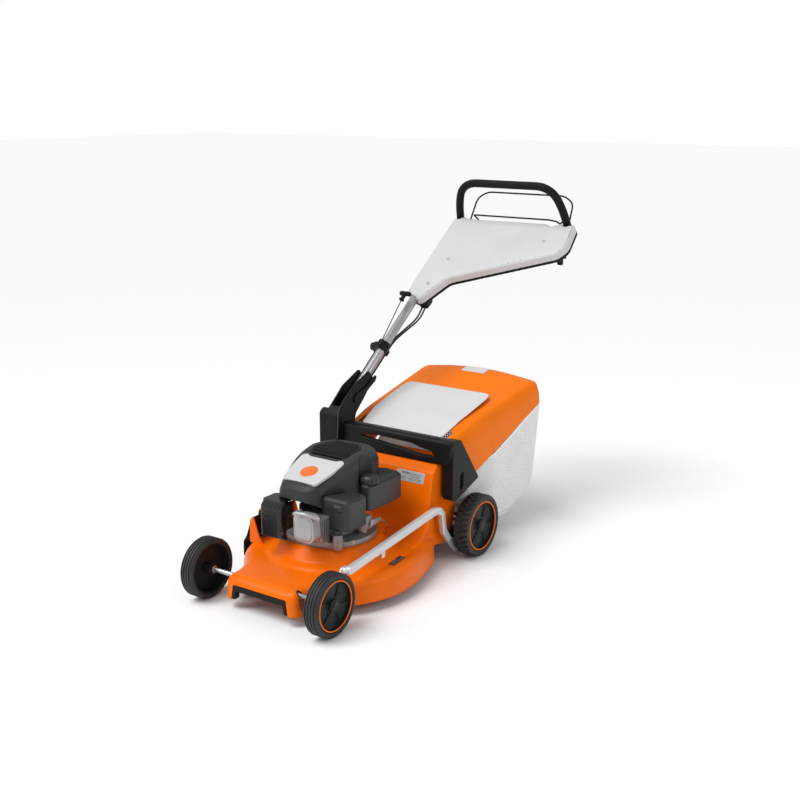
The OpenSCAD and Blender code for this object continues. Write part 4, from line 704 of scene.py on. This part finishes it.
def cover():
    prof = [(0, 2, 14), (0.2, 1.8, 13), (0.4, 1.2, 10.5), (0.6, 0.2, 6.5), (0.75, -0.7, 3),
        (0.84, -1.3, 1), (0.88, -1.9, 0), (0.905, -3.2, 0), (0.922, -5.2, 0),
            (0.936, -8, 0), (0.948, -12, 0), (0.962, -18, 0), (0.98, -29, 0), (1.0, -50, 0)]
    rings = []
    N = 52
    for i in range(N + 1):
        t = 0.9 * i / 40 if i <= 40 else 0.9 + 0.1 * (i - 40) / 12
        # smooth the long profile
        z = sum(cover_z(min(1, max(0, t + d))) for d in (-0.05, -0.025, 0, 0.025, 0.05)) / 5
        crown = max(0, min(1, (t - 0.6) / 0.3))
        crown = crown * crown * (3 - 2 * crown)
        w = 212 + 26 * t
        shrink = 1 - 0.07 * max(0, (t - 0.94) / 0.06) ** 2
        drop = 15 * max(0, (t - 0.955) / 0.045) ** 2
        half = [(w * q * shrink, z + dz + c * crown - drop) for q, dz, c in prof]
        y = CF + t * CL
        low = seam(y) if y > 752 else 200
        side = [(w * shrink, z - 60 - drop), (w * shrink + 1, (z - 60 - drop + low) / 2),
            (w * shrink + 2, low)]
        pts = half + side
        rings.append([P(x, y, zz) for x, zz in pts[::-1]] + [P(-x, y, zz) for x, zz in pts[1:]])
    o = loft("cover_shell", rings, caps=False, closed=False)
    # back wall
    bm = bmesh.new()
    bm.from_mesh(o.data)
    bm.verts.ensure_lookup_table()
    n = len(rings[0])
    last = [bm.verts[N * n + k] for k in range(n)]
    for k in range(n // 2):
        a, b, c, d = last[k], last[k + 1], last[n - 2 - k], last[n - 1 - k]
        if len({a, b, c, d}) == 4:
            bm.faces.new([a, b, c, d])
        elif len({a, b, c, d}) == 3:
            bm.faces.new(list(dict.fromkeys([a, b, c, d])))
    bmesh.ops.recalc_face_normals(bm, faces=bm.faces)
    bm.to_mesh(o.data)
    bm.free()
    return o


cov = cover()
slice_off(cov, P(0, 646, 0), (0, -1, 0))
# diagonal front edge behind the arch's leg
dn = Vector((0, -(400 - 247), -(757 - 647))).normalized()
slice_off(cov, P(0, 757, 247), dn)
solidify(cov, 0.003)
sub = cov.modifiers.new("s", "SUBSURF")
sub.levels = sub.render_levels = 1
bake(cov)
flap_bed = loft("bed", [[P(x, y, z) for y, z in [(597, 378), (663, 381), (750, 420.4), (953, 466.3),
    (953, 560), (597, 560)]] for x in (176, -176)])
cut(cov, [outward(flap_bed), block(-48, 48, CB - 76, CB - 34, 380, 560)])
for p in cov.data.polygons:
    p.use_smooth = True
cov.data.set_sharp_from_angle(angle=radians(40))
piece(cov, "orange_plastic", "catcher", replaces="catcher_cover")


lz = cover_z(1 - 55 / CL) + 15.2
lev = bent([Vector((x, y, 0)) for x, y in [(-46, CB - 75), (46, CB - 75), (46, CB - 36), (-46, CB - 36)]],
    5, 4, True)
piece(prism("level_flap_plate", [P(q.x, q.y, lz - 4 + (q.y - CB + 55) * 0.16) for q in lev],
    Vector((0, 0, 0)), Vector((0, 0, 0.004)), 0.001, 3),
      "flap_white", "level", "level_flap")


def basket():
    """White basket with a lattice of small holes, hung from the cover's seam."""
    f, w = 50, 230
    sec = [(696, 158, 186, 182), (794, 150, 200, 196), (836, 68, 214, 204), (870, 50, 226, 208),
        (990, 50, 230, 212),
           (1108, 90, 232, 214), (1154, 118, 232, 216), (1162, 160, 228, 206)]

    def at(y):
        for a, b in zip(sec, sec[1:]):
            if y <= b[0]:
                t = (y - a[0]) / (b[0] - a[0])
                return [a[k] + t * (b[k] - a[k]) for k in range(4)]
        return list(sec[-1])

    rows, cols, ny = 30, 44, 62
    grid = []
    for j in range(ny + 1):
        y = 696 + (1162 - 696) * j / ny
        s = [sum(at(min(1162, max(696, y + d)))[k] for d in (-12, -6, 0, 6, 12)) / 5 for k in range(4)]
        fl, wt, wb, top = s[1], s[2], s[3], seam(y) - 1
        left = []
        for r in range(rows):
            t = r / rows
            z = top + (fl + 16 - top) * t
            g = t ** 1.3
            left.append((wt + (wb - wt) * g, z))
        left.append((wb - 4, fl + 6))
        left.append((wb - 16, fl))
        floor = [((wb - 16) * (1 - 2 * k / cols), fl) for k in range(1, cols)]
        grid.append([P(x, y, z) for x, z in left] + [P(x, y, z) for x, z in floor]
            + [P(-x, y, z) for x, z in left[::-1]])
    verts, faces = [q for g in grid for q in g], []
    n = len(grid[0])

    def cell(a, b, c, d, hole):
        if not hole:
            faces.append([a, b, c, d])
            return
        mid = (verts[a] + verts[b] + verts[c] + verts[d]) / 4
        k = len(verts)
        for q in (a, b, c, d):
            verts.append(mid + (verts[q] - mid) * 0.44)
        for e, (p, q) in enumerate([(a, b), (b, c), (c, d), (d, a)]):
            faces.append([p, q, k + (e + 1) % 4, k + e])

    for j in range(ny):
        for k in range(n - 1):
            border = j < 2 or k < 1 or k > n - 3
            cell(j * n + k, (j + 1) * n + k, (j + 1) * n + k + 1, j * n + k + 1, not border)
    nl = rows + 2
    prev = [ny * n + q for q in range(nl - 1, n - nl + 1)]
    for r in range(nl - 2, -1, -1):
        a, b = verts[ny * n + r], verts[ny * n + n - 1 - r]
        cur = [ny * n + r]
        bulge = 4 * sin(pi * (1 - r / nl)) * 0.001
        for k in range(1, len(prev) - 1):
            t = k / (len(prev) - 1)
            q = a + (b - a) * t
            q.y += bulge * sin(pi * t)
            verts.append(q)
            cur.append(len(verts) - 1)
        cur.append(ny * n + n - 1 - r)
        for k in range(len(prev) - 1):
            cell(prev[k], prev[k + 1], cur[k + 1], cur[k], 0 < r)
        prev = cur
    o = outward(new("basket_lattice", verts, faces, False))
    solidify(o, 0.0022)
    return piece(o, "white_mesh", "catcher", replaces="catcher_basket")


basket()

# ---------------------------------------------------------------- handle loop, bails, cables
LX, LU = 217, 837
la = H(LX, LU, 0)
up = Vector((0, -sin(radians(22)), cos(radians(22))))


def off(p, x=0, y=0, z=0, k=0.0):
    return p + Vector((x, y, z)) / 1000 + up * k


half = [la, off(la, k=0.15 * 0.44, x=-10), off(la, k=0.15 * 0.82, x=-30), off(la, k=0.1498, x=-72)]
mir = [Vector((-q.x, q.y, q.z)) for q in half]
loop_path = bent(mir + half[::-1], 0.028, 8)
piece(tube("loop_sleeve", loop_path, 0.014, 28), "black_rubber", "handle", replaces="handle_loop")


def bail(name, pts, bend, body, node):
    path = bent([Vector((-q.x, q.y, q.z)) for q in pts] + pts[::-1], bend, 6)
    return piece(tube(name, path, 0.003, 16), "black_plastic", body, replaces=node)


bx = H(186, 841, -30)
bail("stop_bail_wire", [off(bx, -4), off(bx, 10), off(bx, 12, 24, 32), off(bx, 8, 58, 96),
    off(bx, -30, 66, 119)], 0.02, "stop_bail", "stop_bail")
dx = H(0, 827, -30)
run = [(-172, 0, 0), (-148, 0, 0), (-148, 30, 14), (-172, 36, 32), (-190, 36, 46), (118, 36, 46),
    (150, 36, 42), (162, 36, 34), (176, 36, 46), (192, 36, 42),
       (172, 32, 22), (148, 30, 14), (148, 0, 0), (172, 0, 0)]
piece(tube("drive_bail_wire", bent([off(dx, *q) for q in run], 0.007, 6), 0.003, 14), "black_plastic",
    "drive_bail", replaces="drive_bail")

# speed lever: a two-lobed paddle on its boss
sp = bent([H(0, 741 + u, -34 + n) - H(0, 741, -34) for u, n in [(-9, 6), (9, 6), (12, -8), (26, -30),
    (18, -40), (2, -24), (-8, -40), (-20, -36), (-12, -8)]], 0.006, 5, True)
c0 = H(206, 741, -34)
piece(prism("speed_paddle", [c0 + q for q in sp], Vector((0, 0, 0)), Vector((0.019, 0, 0)), 0.003, 4),
    "black_plastic", "speed", replaces="speed_lever")

# cables and rope cross the fold joint, so each follows the chassis below it and the handle above it
for i, s in enumerate((-1, 1)):
    pts = [P(-200 + s * 4.4, 600, 190), P(-200 + s * 4.4, 602, 240 + s * 4), P(-200 + s * 4.4, 604, 372),
        H(-200 + s * 4.4, -40, -23),
           H(-200 + s * 4.4, 0, -21.5), H(-200 + s * 4.4, 140, -23), H(-200 + s * 4.4, 216, -23),
           H(-200 + s * 4.4, 260, -25),
           H(-170 + s * 6, 381, -41), H(-170 + s * 6, 435, -30)]
    o = tube("cable_%d" % (i + 1), curve(bent(pts, 0.03, 4), 3), 0.0031, 12)
    o.data.materials.append(M["cable"])
    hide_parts("control_cables", "cable_tails")
    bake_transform(o)
pts = [P(-68, 420, 404), P(-150, 530, 454), H(-200, -60, 24), H(-200, 0, 21), H(-200, 110, 24),
    H(-200, 200, 24), H(-200, 224, 27)]
o = tube("rope_lower", curve(bent(pts, 0.02, 4), 3), 0.0018, 10)
o.data.materials.append(M["rope"])
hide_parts("start_rope")
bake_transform(o)
pts = [H(-200, 224, 27), H(-200, 374.5, 53)]
o = tube("rope_upper", [pts[0] + (pts[1] - pts[0]) * k / 24 for k in range(25)], 0.0018, 10)
o.data.materials.append(M["rope"])
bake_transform(o)

# -------------------------------------------------------- remaining CAD parts: finish and broken edges
finish = {
    "fuel_cap": ("tank_plastic", 0.0012), "crankcase": ("cast_aluminium", 0.0012),
    "cylinder": ("cast_aluminium", 0.0006), "carburettor": ("cast_aluminium", 0.0008),
    "muffler": ("muffler", 0.0012),
    "spark_plug": ("bright_cast", 0.0006), "fasteners": ("steel", 0.0006),
    "drive_belt": ("black_rubber", 0.0008), "front_axle": ("steel", 0.0008),
    "front_cranks": ("dark_steel", 0.0006),
    "rear_cranks": ("dark_steel", 0.0006), "gearbox": ("cast_iron", 0.001),
    "rear_bushes": ("bushing", 0.0005),
    "drive_shaft": ("steel", 0.0008), "height_link": ("link_metal", 0.001), "crankshaft": ("steel", 0.0008),
    "flywheel": ("cast_aluminium", 0.0008), "blade": ("dark_steel", 0.0006), "blade_bolt": ("steel", 0.0006),
    "handle_column": ("column_metal", 0.0005), "console_screws": ("steel", 0.0004),
    "oil_cap": ("tank_plastic", 0.001),
}
for tag in ("front_left", "front_right", "rear_left", "rear_right"):
    finish["rim_" + tag] = ("rim_plastic", 0.001)
for node, (mat, width) in finish.items():
    o = nodes[node]
    o.data.materials.clear()
    o.data.materials.append(M[mat])
    for p in o.data.polygons:
        p.use_smooth = True
        p.material_index = 0
    wd = o.modifiers.new("w", "WELD")
    wd.merge_threshold = 1e-5
    bevel(o, width, 2, 40)
    o.data.set_sharp_from_angle(angle=radians(35))

# ---------------------------------------------------------------- stage and light
floor = new("floor", [(-30, -30, 0), (30, -30, 0), (30, 30, 0), (-30, 30, 0)], [[0, 1, 2, 3]], False)
fm = bpy.data.materials.new("floor")
fm.use_nodes = True
fm.node_tree.nodes["Principled BSDF"].inputs["Base Color"].default_value = (0.93, 0.93, 0.93, 1)
fm.node_tree.nodes["Principled BSDF"].inputs["Roughness"].default_value = 0.8
fm.node_tree.nodes["Principled BSDF"].inputs["Specular IOR Level"].default_value = 0.1
floor.data.materials.append(fm)
world = bpy.data.worlds.new("world")
scene.world = world
world.use_nodes = True
wt = world.node_tree
bg = wt.nodes["Background"]
bg.inputs["Color"].default_value = (1, 1, 1, 1)
bg.inputs["Strength"].default_value = 0.5
plain = wt.nodes.new("ShaderNodeBackground")
plain.inputs["Strength"].default_value = 1.0
plain.inputs["Color"].default_value = (1, 1, 1, 1)
lp = wt.nodes.new("ShaderNodeLightPath")
mx = wt.nodes.new("ShaderNodeMixShader")
wt.links.new(lp.outputs["Is Camera Ray"], mx.inputs[0])
wt.links.new(bg.outputs[0], mx.inputs[1])
wt.links.new(plain.outputs[0], mx.inputs[2])
wt.links.new(mx.outputs[0], wt.nodes["World Output"].inputs["Surface"])


def lamp(name, kind, loc, target, power, size):
    l = bpy.data.lights.new(name, kind)
    l.energy = power
    if kind == "SUN":
        l.angle = radians(size)
    else:
        l.shape = "DISK"
        l.size = size
    o = bpy.data.objects.new(name, l)
    scene.collection.objects.link(o)
    o.location = loc
    o.rotation_euler = (Vector(loc) - Vector(target)).to_track_quat("Z", "Y").to_euler()


lamp("sky", "SUN", (-0.9, -1.5, 3.2), (0, 0, 0), 1.95, 34)
lamp("softbox_left", "AREA", (-1.6, -2.6, 1.9), (0, -0.2, 0.35), 16, 1.2)
lamp("softbox_right", "AREA", (3.0, 0.4, 1.7), (0, 0, 0.4), 12, 1.2)
scene.view_settings.view_transform = "Standard"
